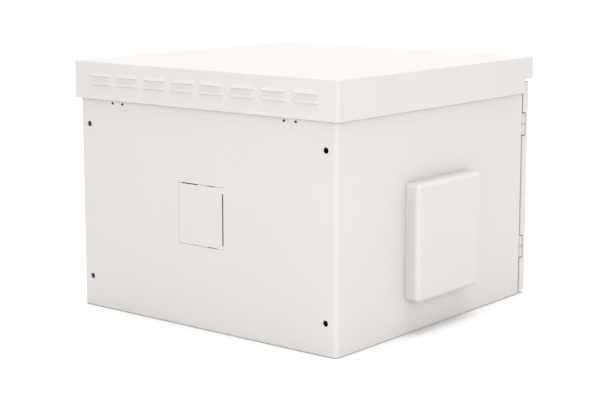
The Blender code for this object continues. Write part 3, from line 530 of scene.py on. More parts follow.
class Graph:
    """A material's nodes. Its textures are laid out in the object's own coordinates, in metres."""

    def __init__(self, name, **sockets):
        self.material = bpy.data.materials.new(name)
        self.material.use_nodes = True
        self.tree = self.material.node_tree
        self.shader = self.tree.nodes["Principled BSDF"]
        for socket, value in sockets.items():
            self.shader.inputs[socket.replace("_", " ")].default_value = value
        self.place = self.tree.nodes.new("ShaderNodeTexCoord").outputs["Object"]

    def node(self, kind, inputs, **settings):
        made = self.tree.nodes.new(kind)
        for setting, value in settings.items():
            setattr(made, setting, value)
        for socket, value in inputs.items():
            self.feed(made.inputs[socket], value)
        return made

    def feed(self, socket, value):
        if isinstance(value, bpy.types.NodeSocket):
            self.tree.links.new(value, socket)
        else:
            socket.default_value = value

    def stretched(self, scale):
        return self.node("ShaderNodeMapping", {"Vector": self.place, "Scale": scale}).outputs["Vector"]

    def noise(self, scale, detail=2.0, place=None):
        inputs = {"Vector": place or self.place, "Scale": scale, "Detail": detail}
        return self.node("ShaderNodeTexNoise", inputs).outputs["Fac"]

    def cells(self, scale, output="Color"):
        return self.node("ShaderNodeTexVoronoi", {"Vector": self.place, "Scale": scale}).outputs[output]

    def spread(self, value, low, high, start=0.3, end=0.7):
        inputs = {"Value": value, "From Min": start, "From Max": end, "To Min": low, "To Max": high}
        return self.node("ShaderNodeMapRange", inputs).outputs["Result"]

    def tinted(self, share, first, second):
        """The first colour where the share is 0, the second where it is 1. Colour sockets go by number."""
        inputs = {0: share, 6: (*first, 1), 7: (*second, 1)}
        return self.node("ShaderNodeMix", inputs, data_type="RGBA").outputs[2]

    def bumped(self, height, distance, normal=None):
        """The surface raised by up to this distance, on top of another bump if there is one."""
        inputs = {"Height": height, "Distance": distance, "Strength": 1.0}
        if normal:
            inputs["Normal"] = normal
        return self.node("ShaderNodeBump", inputs).outputs["Normal"]

    def set(self, **links):
        for socket, value in links.items():
            self.feed(self.shader.inputs[socket.replace("_", " ")], value)
        return self.material


def shade(colour, factor):
    return tuple(min(channel * factor, 1) for channel in colour)


def powder_coat():
    """Satin powder coat: slow drift in tone, fine grain, and a faint orange peel."""
    colour = (0.520, 0.500, 0.484)
    graph = Graph("body_paint")
    drift = graph.spread(graph.noise(5, 3), 0, 1)
    grain = graph.noise(1500, 1)
    peel = graph.bumped(graph.noise(380, 1), 0.000018)
    return graph.set(
        Base_Color=graph.tinted(drift, shade(colour, 0.992), shade(colour, 1.008)),
        Roughness=graph.spread(grain, 0.40, 0.48),
        Normal=graph.bumped(grain, 0.000004, peel),
    )


def zinc_plate():
    """Zinc-plated sheet: faint spangle, rolling streaks and a cool tone."""
    colour = (0.58, 0.60, 0.62)
    graph = Graph("zinc_steel", Metallic=0.92)
    spangle = graph.cells(130)
    streaks = graph.noise(1, 3, graph.stretched((900, 900, 24)))
    return graph.set(
        Base_Color=graph.tinted(graph.spread(streaks, 0, 1), shade(colour, 0.93), shade(colour, 1.05)),
        Roughness=graph.spread(spangle, 0.30, 0.42, 0, 1),
        Normal=graph.bumped(graph.noise(700, 2), 0.000006),
    )


def chrome_plate():
    """Satin plating over zinc, with the fine lines that brushing leaves."""
    graph = Graph("chrome_plate", Metallic=1.0)
    lines = graph.noise(1, 2, graph.stretched((2600, 300, 2600)))
    return graph.set(
        Base_Color=graph.tinted(lines, (0.41, 0.41, 0.42), (0.45, 0.45, 0.46)),
        Roughness=graph.spread(lines, 0.24, 0.29),
        Normal=graph.bumped(lines, 0.0000004),
    )


def black_oxide():
    graph = Graph("black_screw", Metallic=0.5)
    mottle = graph.noise(900, 3)
    return graph.set(
        Base_Color=graph.tinted(mottle, (0.012, 0.012, 0.013), (0.030, 0.029, 0.028)),
        Roughness=graph.spread(mottle, 0.38, 0.55),
        Normal=graph.bumped(graph.noise(2500, 1), 0.000006),
    )


def seal_foam():
    """Closed-cell rubber foam with its skin broken by small cells."""
    graph = Graph("seal_foam")
    cells = graph.cells(1400, "Distance")
    return graph.set(
        Base_Color=graph.tinted(graph.noise(300, 3), (0.010, 0.010, 0.011), (0.026, 0.026, 0.027)),
        Roughness=graph.spread(cells, 0.82, 0.96, 0, 1),
        Normal=graph.bumped(cells, 0.00018),
    )


def moulded_plastic(name, drift, colours, texture, roughest, depth):
    """Moulded plastic: a drift between two colours, and the fine texture of its mould."""
    graph = Graph(name)
    grain = graph.noise(*texture)
    return graph.set(
        Base_Color=graph.tinted(graph.noise(*drift), *colours),
        Roughness=graph.spread(grain, 0.42, roughest),
        Normal=graph.bumped(grain, depth),
    )


def filter_fleece():
    """Non-woven fleece: loose fibres that lie across each other."""
    graph = Graph("filter_fleece", Sheen_Weight=0.3)
    lying = graph.noise(1, 4, graph.stretched((900, 200, 1500)))
    crossing = graph.noise(1, 4, graph.stretched((900, 1500, 200)))
    fibres = graph.node("ShaderNodeMath", {0: lying, 1: crossing}, operation="MAXIMUM").outputs[0]
    return graph.set(
        Base_Color=graph.tinted(graph.spread(fibres, 0, 1), (0.66, 0.67, 0.66), (0.86, 0.87, 0.86)),
        Roughness=graph.spread(fibres, 0.88, 0.98),
        Normal=graph.bumped(fibres, 0.0006),
    )


LIGHT = (0.64, 0.63, 0.60), (0.67, 0.66, 0.63)
BLACK = (0.016, 0.016, 0.018), (0.028, 0.028, 0.030)
MATERIALS = {
    "body_paint": powder_coat(),
    "zinc_steel": zinc_plate(),
    "chrome_plate": chrome_plate(),
    "black_screw": black_oxide(),
    "seal_foam": seal_foam(),
    "light_plastic": moulded_plastic("light_plastic", (20, 2), LIGHT, (1800, 2), 0.56, 0.00001),
    "black_plastic": moulded_plastic("black_plastic", (60, 3), BLACK, (1600, 3), 0.60, 0.000014),
    "filter_fleece": filter_fleece(),
}


# ---- Body ----

def middle_of(node):
    low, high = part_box(node)
    return (low + high) / 2


def past(place, reach=THROUGH):
    """Where a cutter starts and ends that goes right through a sheet at this place."""
    return place - reach, place + reach


def trimmed(low, high, margin):
    """The rectangle of a box seen from above, less a margin all round."""
    return low.x + margin, low.y + margin, high.x - margin, high.y - margin


def drill(plane, centre, radius, place, sides=24, reach=THROUGH):
    """A cutter for a round hole through a sheet."""
    return prism("hole", plane, circle(centre, radius, sides), *past(place, reach))


def screws(kind, low, high):
    """The middles of those of the four screws of a kind that are inside a box's width."""
    middles = [middle_of(f"{kind}_{i + 1}") for i in range(4)]
    return [middle for middle in middles if low.x < middle.x < high.x]


def in_order(low, high, way):
    """The two values, swapped where the way is negative."""
    return (low, high) if way > 0 else (high, low)


def body_wrap():
    """The rear wall and both side walls, folded from one sheet, with deburred holes."""
    low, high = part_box("body_wrap")
    path = [(low.x, low.y), (low.x, high.y), (high.x, high.y), (high.x, low.y)]
    wrap = folded("cabinet_wrap", "XY", path, WRAP_BEND, SHEET, (low.z, high.z), (1, 0))
    fan = middle_of("filter_frame")
    wall_holes = [(side * WALL_HOLE_X, z) for side in (-1, 1) for z in WALL_HOLE_Z]
    holes = [drill("XZ", place, WALL_HOLE_RADIUS, high.y, 32) for place in wall_holes]
    holes += [drill("XZ", screw.xz, SCREW_HOLE, high.y, 16) for screw in screws("bracket_screw", low, high)]
    plate_low, plate_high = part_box("rear_knockout")
    holes.append(box(
        "opening", (plate_low.x - GAP, high.y - THROUGH, plate_low.z - GAP),
        (plate_high.x + GAP, high.y + THROUGH, plate_high.z + GAP),
    ))
    fan_opening = rounded(*around((fan.y, fan.z), FAN_OPENING_HALF), (FAN_OPENING_CORNER,) * 4)
    holes.append(prism("opening", "YZ", fan_opening, *past(low.x)))
    cut(wrap, *holes)
    stand_in(softened(wrap), "body_wrap")


def level_pan(name, low, high, flat, rim, outside):
    """A pan that lies flat at one height and is folded to another, with bends at its rear corners."""
    path = [(PAN_EDGE, flat), (0, flat), (0, rim)]
    bends = (0, 0, PAN_BEND, PAN_BEND)
    return pan(name, "XY", trimmed(low, high, 0), bends, path, FOLD, SHEET, outside)


def floor_pan():
    """The floor, folded up all round, with the cable opening."""
    low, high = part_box("floor_pan")
    floor = level_pan("cabinet_floor", low, high, low.z, high.z, (0, 0, -1))
    opening = trimmed(*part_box("floor_entry_cover"), ENTRY_LAP)
    cut(floor, prism("opening", "XY", rounded(*opening, (ENTRY_CORNER,) * 4), *past(low.z)))
    stand_in(softened(floor), "floor_pan")


def ceiling_pan():
    """The sealed top of the body. Slots let warm air out under the canopy."""
    low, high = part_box("ceiling_pan")
    ceiling = level_pan("cabinet_ceiling", low, high, high.z, low.z, (0, 0, 1))
    slots = []
    for i in range(OUTLET_ROWS):
        y = OUTLET_PITCH * (i - OUTLET_ROWS // 2)
        outline = slot_outline(-OUTLET_HALF_LENGTH, OUTLET_HALF_LENGTH, y, OUTLET_HALF_WIDTH)
        slots.append(prism("slot", "XY", outline, *past(high.z)))
    holes = [drill("XY", screw.xy, BOLT_HOLE, high.z) for screw in screws("roof_screw", low, high)]
    cut(ceiling, *slots, *holes)
    stand_in(softened(ceiling), "ceiling_pan")


def ceiling_bracket(side_name):
    """An angle with a bent corner, behind one pair of the black screws."""
    node = f"ceiling_bracket_{side_name}"
    low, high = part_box(node)
    path = [(high.y, low.z), (high.y, high.z), (low.y, high.z)]
    bracket = folded(f"{node}_angle", "YZ", path, BRACKET_BEND, BRACKET_SHEET, (low.x, high.x), (1, 1))
    holes = [drill("XZ", screw.xz, SCREW_HOLE, high.y, 16) for screw in screws("bracket_screw", low, high)]
    stand_in(softened(cut(bracket, *holes)), node)


def bracket_screw(number):
    """A button-head screw with a hexagon socket, blackened."""
    node = f"bracket_screw_{number}"
    low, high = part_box(node)
    centre = middle_of(node).xz
    head = (high.x - low.x) / 2
    crown = SCREW_CROWN * head
    face = high.y - SCREW_RISE
    dome = [
        (crown + (head - crown) * math.sin(a), face + SCREW_RISE * math.cos(a))
        for a in quarter_turn(8)[1:]
    ]
    profile = [(crown, high.y), *dome, (SCREW_SHAFT, face), *thread(face, low.y, SCREW_SHAFT)]
    screw = turned(f"{node}_button_head", "XZ", centre, profile, 24)
    socket_floor = face + SOCKET_FLOOR
    socket = prism("socket", "XZ", circle(centre, SCREW_SOCKET * head, 6), socket_floor, high.y + THROUGH)
    stand_in(cut(screw, socket), node)


def thread(start, end, radius, pitch=0.0007, depth=0.0002):
    """Rings of a shaft whose surface rises and falls at each turn."""
    turns = max(int(abs(end - start) / pitch), 1)
    step = (end - start) / turns
    rings = []
    for i in range(turns):
        rings.append((radius, start + step * (i + THREAD_CREST)))
        rings.append((radius - depth, start + step * (i + THREAD_ROOT)))
    return [*rings, (radius - depth, end)]


# ---- Canopy ----

def louvre_rise(x, z):
    """How far a louvre pushes the rear skirt out at this place."""
    column = min(max(round(x / LOUVRE_PITCH + LOUVRE_MIDDLE), 0), LOUVRE_COLUMNS - 1)
    from_end = LOUVRE_HALF_WIDTH - abs(x - (column - LOUVRE_MIDDLE) * LOUVRE_PITCH)
    rise = 0
    for lip in LOUVRE_LIPS:
        up = (z - lip) / LOUVRE_HEIGHT
        if from_end > 0 and -1e-6 <= up < 1:
            end = min(from_end / LOUVRE_END, 1)
            rise = end * end * (3 - 2 * end) * (1 - up)
    return LOUVRE_DEPTH * rise


def louvre_columns():
    """The places along the rear skirt, from right to left, that its mesh needs."""
    ends = [LOUVRE_HALF_WIDTH - LOUVRE_END * share for share in (1, 0.75, 0.5, 0.25, 0.1, 0)]
    offsets = [*ends, *[-end for end in ends], 0, LOUVRE_CREST, -LOUVRE_CREST]
    middles = [(i - LOUVRE_MIDDLE) * LOUVRE_PITCH for i in range(LOUVRE_COLUMNS)]
    return sorted((middle + offset for middle in middles for offset in offsets), reverse=True)


def canopy_outline(limits, inset):
    """One turn round the canopy, with the extra places that its louvres and its stepped skirt need."""
    left, front, right, rear = limits
    corner = [max(ROOF_CORNER - inset, EDGE)] * 4
    outline = rounded(left + inset, front + inset, right - inset, rear - inset, corner)
    quarter = len(outline) // 4
    return [
        *outline[:2 * quarter], (right - inset, SKIRT_STEP_Y), *outline[2 * quarter:3 * quarter],
        *[(x, rear - inset) for x in louvre_columns()], *outline[3 * quarter:], (left + inset, SKIRT_STEP_Y),
    ]


def canopy_heights(bottom):
    """Heights of the mesh's rows down the skirt. The two rows at each lip leave it open."""
    heights = []
    for lip in LOUVRE_LIPS:
        heights += [lip + LOUVRE_HEIGHT * (1 - i / LOUVRE_STEPS) for i in range(LOUVRE_STEPS + 1)] + [lip]
    return [*heights, FRONT_SKIRT_BOTTOM, bottom]


def roof_canopy():
    """The rain canopy, folded from one sheet, with its louvres pressed out of the rear skirt."""
    low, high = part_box("roof_canopy")
    rear = high.y - LOUVRE_DEPTH
    limits = (low.x, low.y, high.x, rear)
    fold = filleted([(PAN_EDGE, high.z), (0, high.z), (0, low.z)], ROOF_FOLD)[:-1]
    heights = canopy_heights(low.z)
    rows = [[(x, y, z) for x, y in canopy_outline(limits, inset)] for inset, z in fold]
    lips = []
    for i, z in enumerate(heights):
        below_lip = i > 0 and heights[i - 1] == z
        if below_lip:
            lips.append(len(rows))
        row = []
        for x, y in canopy_outline(limits, 0):
            on_rear = abs(y - rear) < 1e-6 and not below_lip
            row.append((x, y + louvre_rise(x, z) if on_rear else y, z))
        rows.append(row)
    columns = len(rows[0])
    last_row = len(rows) - 2

    def skip(i, j):
        """No face crosses a louvre's lip, and the front skirt ends a row above the rest."""
        if i + 1 in lips:
            return True
        at_front = max(rows[i][j][1], rows[i][(j + 1) % columns][1]) <= SKIRT_STEP_Y + 1e-6
        return i == last_row and at_front

    skin = thickened(loft("rain_canopy", rows, cap_last=False, skip=skip), ROOF_SHEET, (0, 0, 1))
    stand_in(softened(skin, 0.0003, angle=60), "roof_canopy")


def roof_spacer(side_name, side):
    """A channel between the ceiling and the canopy, with its screws' holes."""
    node = f"roof_spacer_{side_name}"
    low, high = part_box(node)
    inner, outer = in_order(low.x, high.x, side)
    path = [(outer, low.z), (inner, low.z), (inner, high.z), (outer, high.z)]
    spacer = folded(f"{node}_channel", "XZ", path, FOLD, SHEET, (low.y, high.y), (inner, 1))
    holes = [drill("XY", screw.xy, BOLT_HOLE, low.z) for screw in screws("roof_screw", low, high)]
    stand_in(softened(cut(spacer, *holes)), node)


# ---- Hardware ----

def hex_head(name, plane, centre, start, end):
    """A hexagon whose corners are chamfered at its outer end."""
    radius = BOLT_HEX_RADIUS
    block = prism(name, plane, circle(centre, radius, 6), start, end)
    way = 1 if end > start else -1
    wide = radius * 1.2
    profile = [
        (wide, start - way * OVERLAP), (wide, end - way * HEX_CHAMFER), (radius * HEX_FACE, end),
        (radius * 0.5, end + way * 0.00001),
    ]
    return combine(block, "INTERSECT", [turned("cone", plane, centre, profile)])


def screwed(name, plane, centre, head, head_end, tip, nut=None):
    """A hexagon bolt with its thread, and a nut on it between two distances."""
    way = 1 if tip > head else -1
    parts = [hex_head(name, plane, centre, head, head_end)]
    root = (BOLT_RADIUS, head - way * OVERLAP)
    shaft = [root, *thread(head, tip, BOLT_RADIUS, BOLT_PITCH, BOLT_THREAD)]
    parts.append(turned("shaft", plane, centre, shaft, 24))
    if nut:
        parts.append(hex_head("nut", plane, centre, *nut))
    return softened(joined(parts, name), FINE_EDGE)


def roof_screw(number):
    node = f"roof_screw_{number}"
    low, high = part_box(node)
    centre = ((low.x + high.x) / 2, (low.y + high.y) / 2)
    stand_in(screwed(f"{node}_bolt", "XY", centre, low.z + BOLT_HEAD, low.z, high.z), node)


def rail_bolt(end, side_name, level, side):
    node = f"rail_bolt_{end}_{side_name}_{level}"
    low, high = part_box(node)
    centre = middle_of(node).yz
    head_end, tip = in_order(low.x, high.x, side)
    nut_start = tip - side * NUT_FROM_TIP
    bolt = screwed(
        f"{node}_and_nut", "YZ", centre, head_end + side * BOLT_HEAD, head_end, tip,
        (nut_start, nut_start + side * NUT_HEIGHT),
    )
    stand_in(bolt, node)


# ---- Rails ----

def rail(end, side_name, side):
    """An L-section rail with a bent corner and 21 square holes."""
    node = f"rail_{end}_{side_name}"
    low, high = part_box(node)
    way = 1 if end == "front" else -1
    face, back = in_order(low.y, high.y, way)
    inner, outer = in_order(low.x, high.x, side)
    path = [(inner, face), (outer, face), (outer, back)]
    outside = (outer + side * AWAY, face - way * AWAY)
    profile = folded(f"{node}_profile", "XY", path, FOLD, SHEET, (low.z, high.z), outside)
    holes = []
    for height in [unit * UNIT + rise for unit in range(UNITS) for rise in UNIT_HOLES]:
        limits = around((side * RAIL_HOLE_X, low.z + height), RAIL_HOLE_HALF)
        outline = rounded(*limits, (RAIL_HOLE_CORNER,) * 4, 3)
        holes.append(prism("hole", "XZ", outline, *past(face, THROUGH_RAIL)))
    for level in ("low", "high"):
        bolt = middle_of(f"rail_bolt_{end}_{side_name}_{level}")
        holes.append(drill("YZ", bolt.yz, BOLT_HOLE, outer, reach=THROUGH_RAIL))
    stand_in(softened(cut(profile, *holes), 0.00025), node)


def depth_bar(side_name, side, level):
    """A Z-section bar with two long slots, which the rails' bolts slide in."""
    node = f"depth_bar_{side_name}_{level}"
    low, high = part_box(node)
    inner, outer = in_order(low.x, high.x, side)
    up = 1 if level == "low" else -1
    bottom, top = in_order(low.z, high.z, up)
    knee = bottom + up * BAR_KNEE
    flange = outer - side * SHEET
    path = [(inner, top), (inner, knee), (flange, knee), (flange, bottom)]
    bar = folded(f"{node}_section", "XZ", path, FOLD, SHEET, (low.y, high.y), (inner - side * AWAY, top))
    z = middle_of(f"rail_bolt_front_{side_name}_{level}").z
    slots = []
    for end, travel in RAIL_TRAVEL.items():
        start = middle_of(f"rail_bolt_{end}_{side_name}_{level}").y
        near, far = sorted((start, start + travel))
        outline = slot_outline(near - SLOT_PAST_BOLT, far + SLOT_PAST_BOLT, z, SLOT_HALF)
        slots.append(prism("slot", "YZ", outline, *past(inner, THROUGH_RAIL)))
    stand_in(softened(cut(bar, *slots)), node)


# ---- Filter fan ----

def fan_hood():
    """The pressed rain hood, with soft edges and its mouth underneath."""
    low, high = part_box("fan_hood")
    limits = (low.y, low.z, high.y, high.z)
    path = [(HOOD_EDGE, low.x), (0, low.x), (0, high.x)]
    hood = pan(
        "filter_rain_hood", "YZ", limits, (HOOD_CORNER,) * 4, path, HOOD_ROUND, HOOD_WALL, (-1, 0, 0)
    )
    middle = (low.y + high.y) / 2
    mouth = box(
        "mouth", (low.x + HOOD_ROUND, middle - HOOD_MOUTH_HALF, low.z - THROUGH),
        (high.x + THROUGH, middle + HOOD_MOUTH_HALF, low.z + THROUGH),
    )
    stand_in(softened(cut(hood, mouth), 0.0005), "fan_hood")


def filter_mat():
    """The fleece pad: a soft block whose surface is a little uneven, always inside its CAD box."""
    low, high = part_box("filter_mat")
    size = high - low
    shape = bmesh.new()
    bmesh.ops.create_cube(shape, size=1)
    for axis in range(3):
        cuts = max(int(size[axis] / FLEECE_CELL), 1)
        along = [e for e in shape.edges if abs((e.verts[0].co - e.verts[1].co)[axis]) > 1e-6]
        bmesh.ops.subdivide_edges(shape, edges=along, cuts=cuts, use_grid_fill=True)
    shape.normal_update()
    inwards = {v: -v.normal for v in shape.verts}
    for vert in shape.verts:
        place = low + Vector([(vert.co[i] + 0.5) * size[i] for i in range(3)])
        waves = 0.5 + 0.5 * noise.noise(place * FLEECE_WAVES)
        tufts = 0.5 + 0.5 * noise.noise(place * FLEECE_TUFTS)
        vert.co = place + inwards[vert] * FLEECE_LIFT * (waves + 0.4 * tufts)
    mat = shape_object("filter_fleece_pad", shape)
    mat.data.shade_smooth()
    stand_in(mat, "filter_mat")


def fan_housing():
    """A 120 mm fan frame: two square flanges, a round duct between them, and four struts to the motor."""
    low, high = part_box("fan_housing")
    centre = middle_of("fan_housing").yz
    square = around(centre, (high.y - low.y) / 2)
    outside = FAN_BORE + FAN_DUCT_WALL
    duct = [(FAN_BORE, low.x), (outside, low.x), (outside, high.x), (FAN_BORE, high.x)]
    housing = turned("fan_frame", "YZ", centre, duct, 72, bored=True)
    in_duct_wall = FAN_BORE + OVERLAP
    bore = circle(centre, in_duct_wall, 72)
    holes = [
        circle((centre[0] + y * FAN_SCREW, centre[1] + z * FAN_SCREW), FAN_EYE, 20)
        for y in (-1, 1) for z in (-1, 1)
    ]
    for start, end in ((low.x, low.x + FAN_FLANGE), (high.x - FAN_FLANGE, high.x)):
        fuse(housing, prism("flange", "YZ", rounded(*square, (FAN_CORNER,) * 4), start, end, [bore, *holes]))
    near = high.x - STRUT_THICKNESS
    for halves in ((in_duct_wall, STRUT_HALF), (STRUT_HALF, in_duct_wall)):
        fuse(housing, prism("strut", "YZ", rectangle(*around(centre, *halves)), near, high.x))
    base = [
        (MOTOR_BASE - 0.0005, near - 0.0001), (MOTOR_BASE, near + 0.0005),
        (MOTOR_BASE, high.x - 0.0008), (MOTOR_BASE - 0.0008, high.x),
    ]
    fuse(housing, turned("motor_base", "YZ", centre, base, 48))
    stand_in(softened(housing, 0.0003), "fan_housing")


def blade_section(share, angle, near, far, centre):
    """A blade's outline at this share of the way to its tip: thinner, flatter and wider towards the tip."""
    pairs = (BLADE_RADIUS, BLADE_SWEEP, BLADE_DEPTH, BLADE_THICKNESS)
    radius, sweep, depth, thick = [root + (tip - root) * share for root, tip in pairs]
    rise = (far - near) / 2 * depth
    front = [(-1 + 2 * i / BLADE_STEPS, 1) for i in range(BLADE_STEPS + 1)]
    back = [(-chord, -1) for chord, _ in front[1:-1]]
    section = []
    for chord, surface in front + back:
        bulge = 1 - chord * chord
        x = (near + far) / 2 + rise * chord - BLADE_CAMBER * bulge + surface * thick * math.sqrt(bulge)
        turn = angle + sweep * chord + BLADE_LEAN * share
        section.append((x, centre[0] + radius * math.cos(turn), centre[1] + radius * math.sin(turn)))
    return section


def fan_blade(angle, near, far, centre):
    """A twisted and cambered blade, lofted from the hub to its tip."""
    shares = [i / BLADE_STEPS for i in range(BLADE_STEPS + 1)]
    return loft("blade", [blade_section(share, angle, near, far, centre) for share in shares])


def fan_rotor():
    """The rotor: a hub with a rounded face, and seven blades."""
    low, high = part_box("fan_rotor")
    centre = middle_of("fan_housing").yz
    rim = rounded_rim(HUB, low.x, HUB_ROUND)
    hub = turned("fan_rotor_hub", "YZ", centre, [*rim, (HUB, high.x - 0.0006), (HUB - 0.0006, high.x)], 64)
    for i in range(FAN_BLADES):
        angle = 2 * math.pi * i / FAN_BLADES
        fuse(hub, fan_blade(angle, low.x + BLADE_MARGIN, high.x - BLADE_MARGIN, centre))
    hub.name = "fan_rotor_and_blades"
    stand_in(smoothed(hub, 38), "fan_rotor")


def rod(name, start, end, radius, steps=16):
    """A round wire between two points."""
    start, end = Vector(start), Vector(end)
    turn = (end - start).to_track_quat("Z", "Y").to_matrix()
    ring = [turn @ Vector((u, v, 0)) for u, v in circle((0, 0), radius, steps)]
    return loft(name, [[tuple(place + offset) for offset in ring] for place in (start, end)])


def wire_ring(centre, radius, x, steps=72):
    profile = [(radius + u, x + v) for u, v in circle((0, 0), GUARD_WIRE, 12)]
    return turned("ring", "YZ", centre, profile, steps, bored=True)


def finger_guard():
    """A wire guard: rings spot-welded to two bars that end in screw eyes."""
    low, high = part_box("finger_guard")
    centre = middle_of("fan_housing").yz
    wire = GUARD_WIRE
    radii = [GUARD_FIRST_RING + GUARD_PITCH * i for i in range(GUARD_RINGS)]
    parts = [wire_ring(centre, radius, low.x + wire) for radius in radii]
    inset = (FAN_SCREW - GUARD_EYE * math.sqrt(0.5)) / FAN_SCREW
    for way in (-1, 1):
        ends = []
        for side in (-1, 1):
            place = (centre[0] + side * FAN_SCREW, centre[1] + side * way * FAN_SCREW)
            parts.append(wire_ring(place, GUARD_EYE, high.x - wire, 24))
            ends.append((high.x - wire, *(c + (p - c) * inset for p, c in zip(place, centre))))
        parts.append(rod("bar", *ends, wire))
    stand_in(smoothed(joined(parts, "fan_wire_guard"), 50), "finger_guard")


# ---- Door ----

def hinge_notches(back):
    """Cutters that make room for both hinges, up to this distance back."""
    notches = []
    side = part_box("door_panel")[0].x - HINGE_NOTCH_REACH
    for level in ("lower", "upper"):
        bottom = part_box(f"hinge_{level}_frame_half")[0].z - HINGE_MARGIN
        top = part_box(f"hinge_{level}_door_half")[1].z + HINGE_MARGIN
        notches.append(box("notch", (side, HINGE_NOTCH_Y, bottom), (HINGE_NOTCH_X, back, top)))
    return notches


def door_panel():
    """The folded door: face, flanges and the return that carries the seal."""
    low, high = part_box("door_panel")
    limits = (low.x, low.z, high.x, high.z)
    path = [(DOOR_EDGE, low.y), (0, low.y), (0, high.y), (DOOR_RETURN, high.y)]
    door = pan("cabinet_door", "XZ", limits, (DOOR_CORNER,) * 4, path, FOLD, SHEET, (0, -1, 0.2))
    lock_hole = drill("XZ", middle_of("lock_nut").xz, LOCK_HOLE_RADIUS, low.y, 48)
    cut(door, *hinge_notches(high.y + THROUGH), lock_hole)
    stand_in(softened(door), "door_panel")


def door_seal():
    """Foam strip with rounded edges, on the door's return."""
    low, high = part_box("door_seal")
    outline, inner = [
        rectangle(low.x + margin, low.z + margin, high.x - margin, high.z - margin)
        for margin in (0, SEAL_WIDTH)
    ]
    seal = prism("door_foam_seal", "XZ", outline, low.y, high.y, [inner])
    cut(seal, *hinge_notches(high.y + THROUGH))
    stand_in(softened(seal, SEAL_EDGE, 4), "door_seal")


def rear_entry_seal():
    """The foam pad behind the knock-out."""
    pad = box("rear_entry_foam", *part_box("rear_entry_seal"))
    stand_in(softened(pad, FOAM_EDGE, 3), "rear_entry_seal")


def floor_entry_seal():
    """The foam strip round the cable opening in the floor."""
    low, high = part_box("floor_entry_seal")
    outline = rectangle(*trimmed(low, high, 0))
    opening = rectangle(*trimmed(low, high, ENTRY_LAP))
    seal = prism("floor_entry_foam", "XY", outline, low.z, high.z, [opening])
    stand_in(softened(seal, FOAM_EDGE, 3), "floor_entry_seal")


def hinge_half(level, half):
    """A bored knuckle with chamfered ends and the stub that is welded to its sheet."""
    node = f"hinge_{level}_{half}_half"
    low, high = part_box(node)
    pin = middle_of(f"hinge_{level}_pin")
    centre = (pin.x, pin.y)
    bottom = low.z + HINGE_CHAMFER
    top = high.z - HINGE_CHAMFER
    shoulder = HINGE_RADIUS - HINGE_CHAMFER
    profile = [
        (HINGE_BORE, low.z), (shoulder, low.z), (HINGE_RADIUS, bottom),
        (HINGE_RADIUS, top), (shoulder, high.z), (HINGE_BORE, high.z),
    ]
    knuckle = turned(f"{node}_knuckle", "XY", centre, profile, 48, bored=True)
    reach = (pin.y, high.y) if half == "frame" else (low.y, pin.y)
    outside = pin.x + HINGE_RADIUS
    stub = box("stub", (outside - HINGE_STUB, reach[0], bottom), (outside, reach[1], top))
    stand_in(softened(fuse(knuckle, stub), FINE_EDGE), node)


# ---- Lock ----

def lock_housing():
    """The lock's round body, with a rounded flange and the rivet of its dust cap."""
    low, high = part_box("lock_housing")
    centre = middle_of("lock_plug").xz
    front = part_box("lock_cap")[1].y + LOCK_CLEARANCE
    face = front + LOCK_FLANGE_THICKNESS
    rim = rounded_rim(LOCK_FLANGE, front, LOCK_FLANGE_ROUND)
    bore = LOCK_PLUG + LOCK_CLEARANCE
    profile = [
        (bore, front), *rim, (LOCK_FLANGE, face), (LOCK_BARREL, face),
        *thread(face + LOCK_NECK, high.y - OVERLAP, LOCK_BARREL, LOCK_PITCH, LOCK_THREAD), (bore, high.y),
    ]
    housing = turned("lock_body", "XZ", centre, profile, 64, bored=True)
    pivot = (centre[0], centre[1] + CAP_PIVOT_RISE)
    dome = [
        (RIVET_HEAD * math.cos(a), low.y + RIVET_RISE * (1 - math.sin(a)))
        for a in reversed(quarter_turn(5)[:-1])
    ]
    rivet = [*dome, (RIVET_SHAFT, low.y + RIVET_RISE), (RIVET_SHAFT, front + OVERLAP)]
    fuse(housing, turned("rivet", "XZ", pivot, rivet, 24))
    stand_in(smoothed(housing, 32), "lock_housing")


def lock_plug():
    """The key plug: chamfered face, keyhole and the square tail that turns the cam."""
    low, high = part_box("lock_plug")
    centre = middle_of("lock_plug").xz
    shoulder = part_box("lock_cam")[0].y - 2 * LOCK_CLEARANCE
    chamfer = LOCK_PLUG_CHAMFER
    profile = [(LOCK_PLUG - chamfer, low.y), (LOCK_PLUG, low.y + chamfer), (LOCK_PLUG, shoulder)]
    plug = turned("lock_key_plug", "XZ", centre, profile, 48)
    tail = rectangle(*around(centre, LOCK_TAIL_HALF))
    fuse(plug, prism("tail", "XZ", tail, shoulder - OVERLAP, high.y))
    for half_width, half_height, rise in KEYHOLE:
        outline = rectangle(*around((centre[0], centre[1] + rise), half_width, half_height))
        cut(plug, prism("keyhole", "XZ", outline, low.y - THROUGH, low.y + KEYHOLE_DEPTH))
    stand_in(softened(plug, FINE_EDGE), "lock_plug")


def lock_cap():
    """The dust cap that swings on its rivet: a stamped disc with a soft edge."""
    low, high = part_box("lock_cap")
    centre = middle_of("lock_plug").xz
    pivot = (centre[0], centre[1] + CAP_PIVOT_RISE)
    outline = arc(centre, CAP_RADIUS, -245, 65, 48) + arc(pivot, CAP_EYE, 20, 160, 16)
    cap = prism("lock_dust_cap", "XZ", outline, low.y, high.y, [circle(pivot, CAP_HOLE, 24)])
    stand_in(softened(cap, 0.0004, 3), "lock_cap")


# ---- Thermostat ----

def side_vents(low, high):
    """Shallow slots for the thermostat's two side faces."""
    bottom = low.z + VENT_MARGIN
    top = high.z - VENT_MARGIN
    starts = [low.x + VENT_MARGIN + VENT_PITCH * i for i in range(VENTS)]
    return [
        box("vent", (x, y - VENT_DEPTH, bottom), (x + VENT_WIDTH, y + VENT_DEPTH, top))
        for x in starts for y in (low.y, high.y)
    ]


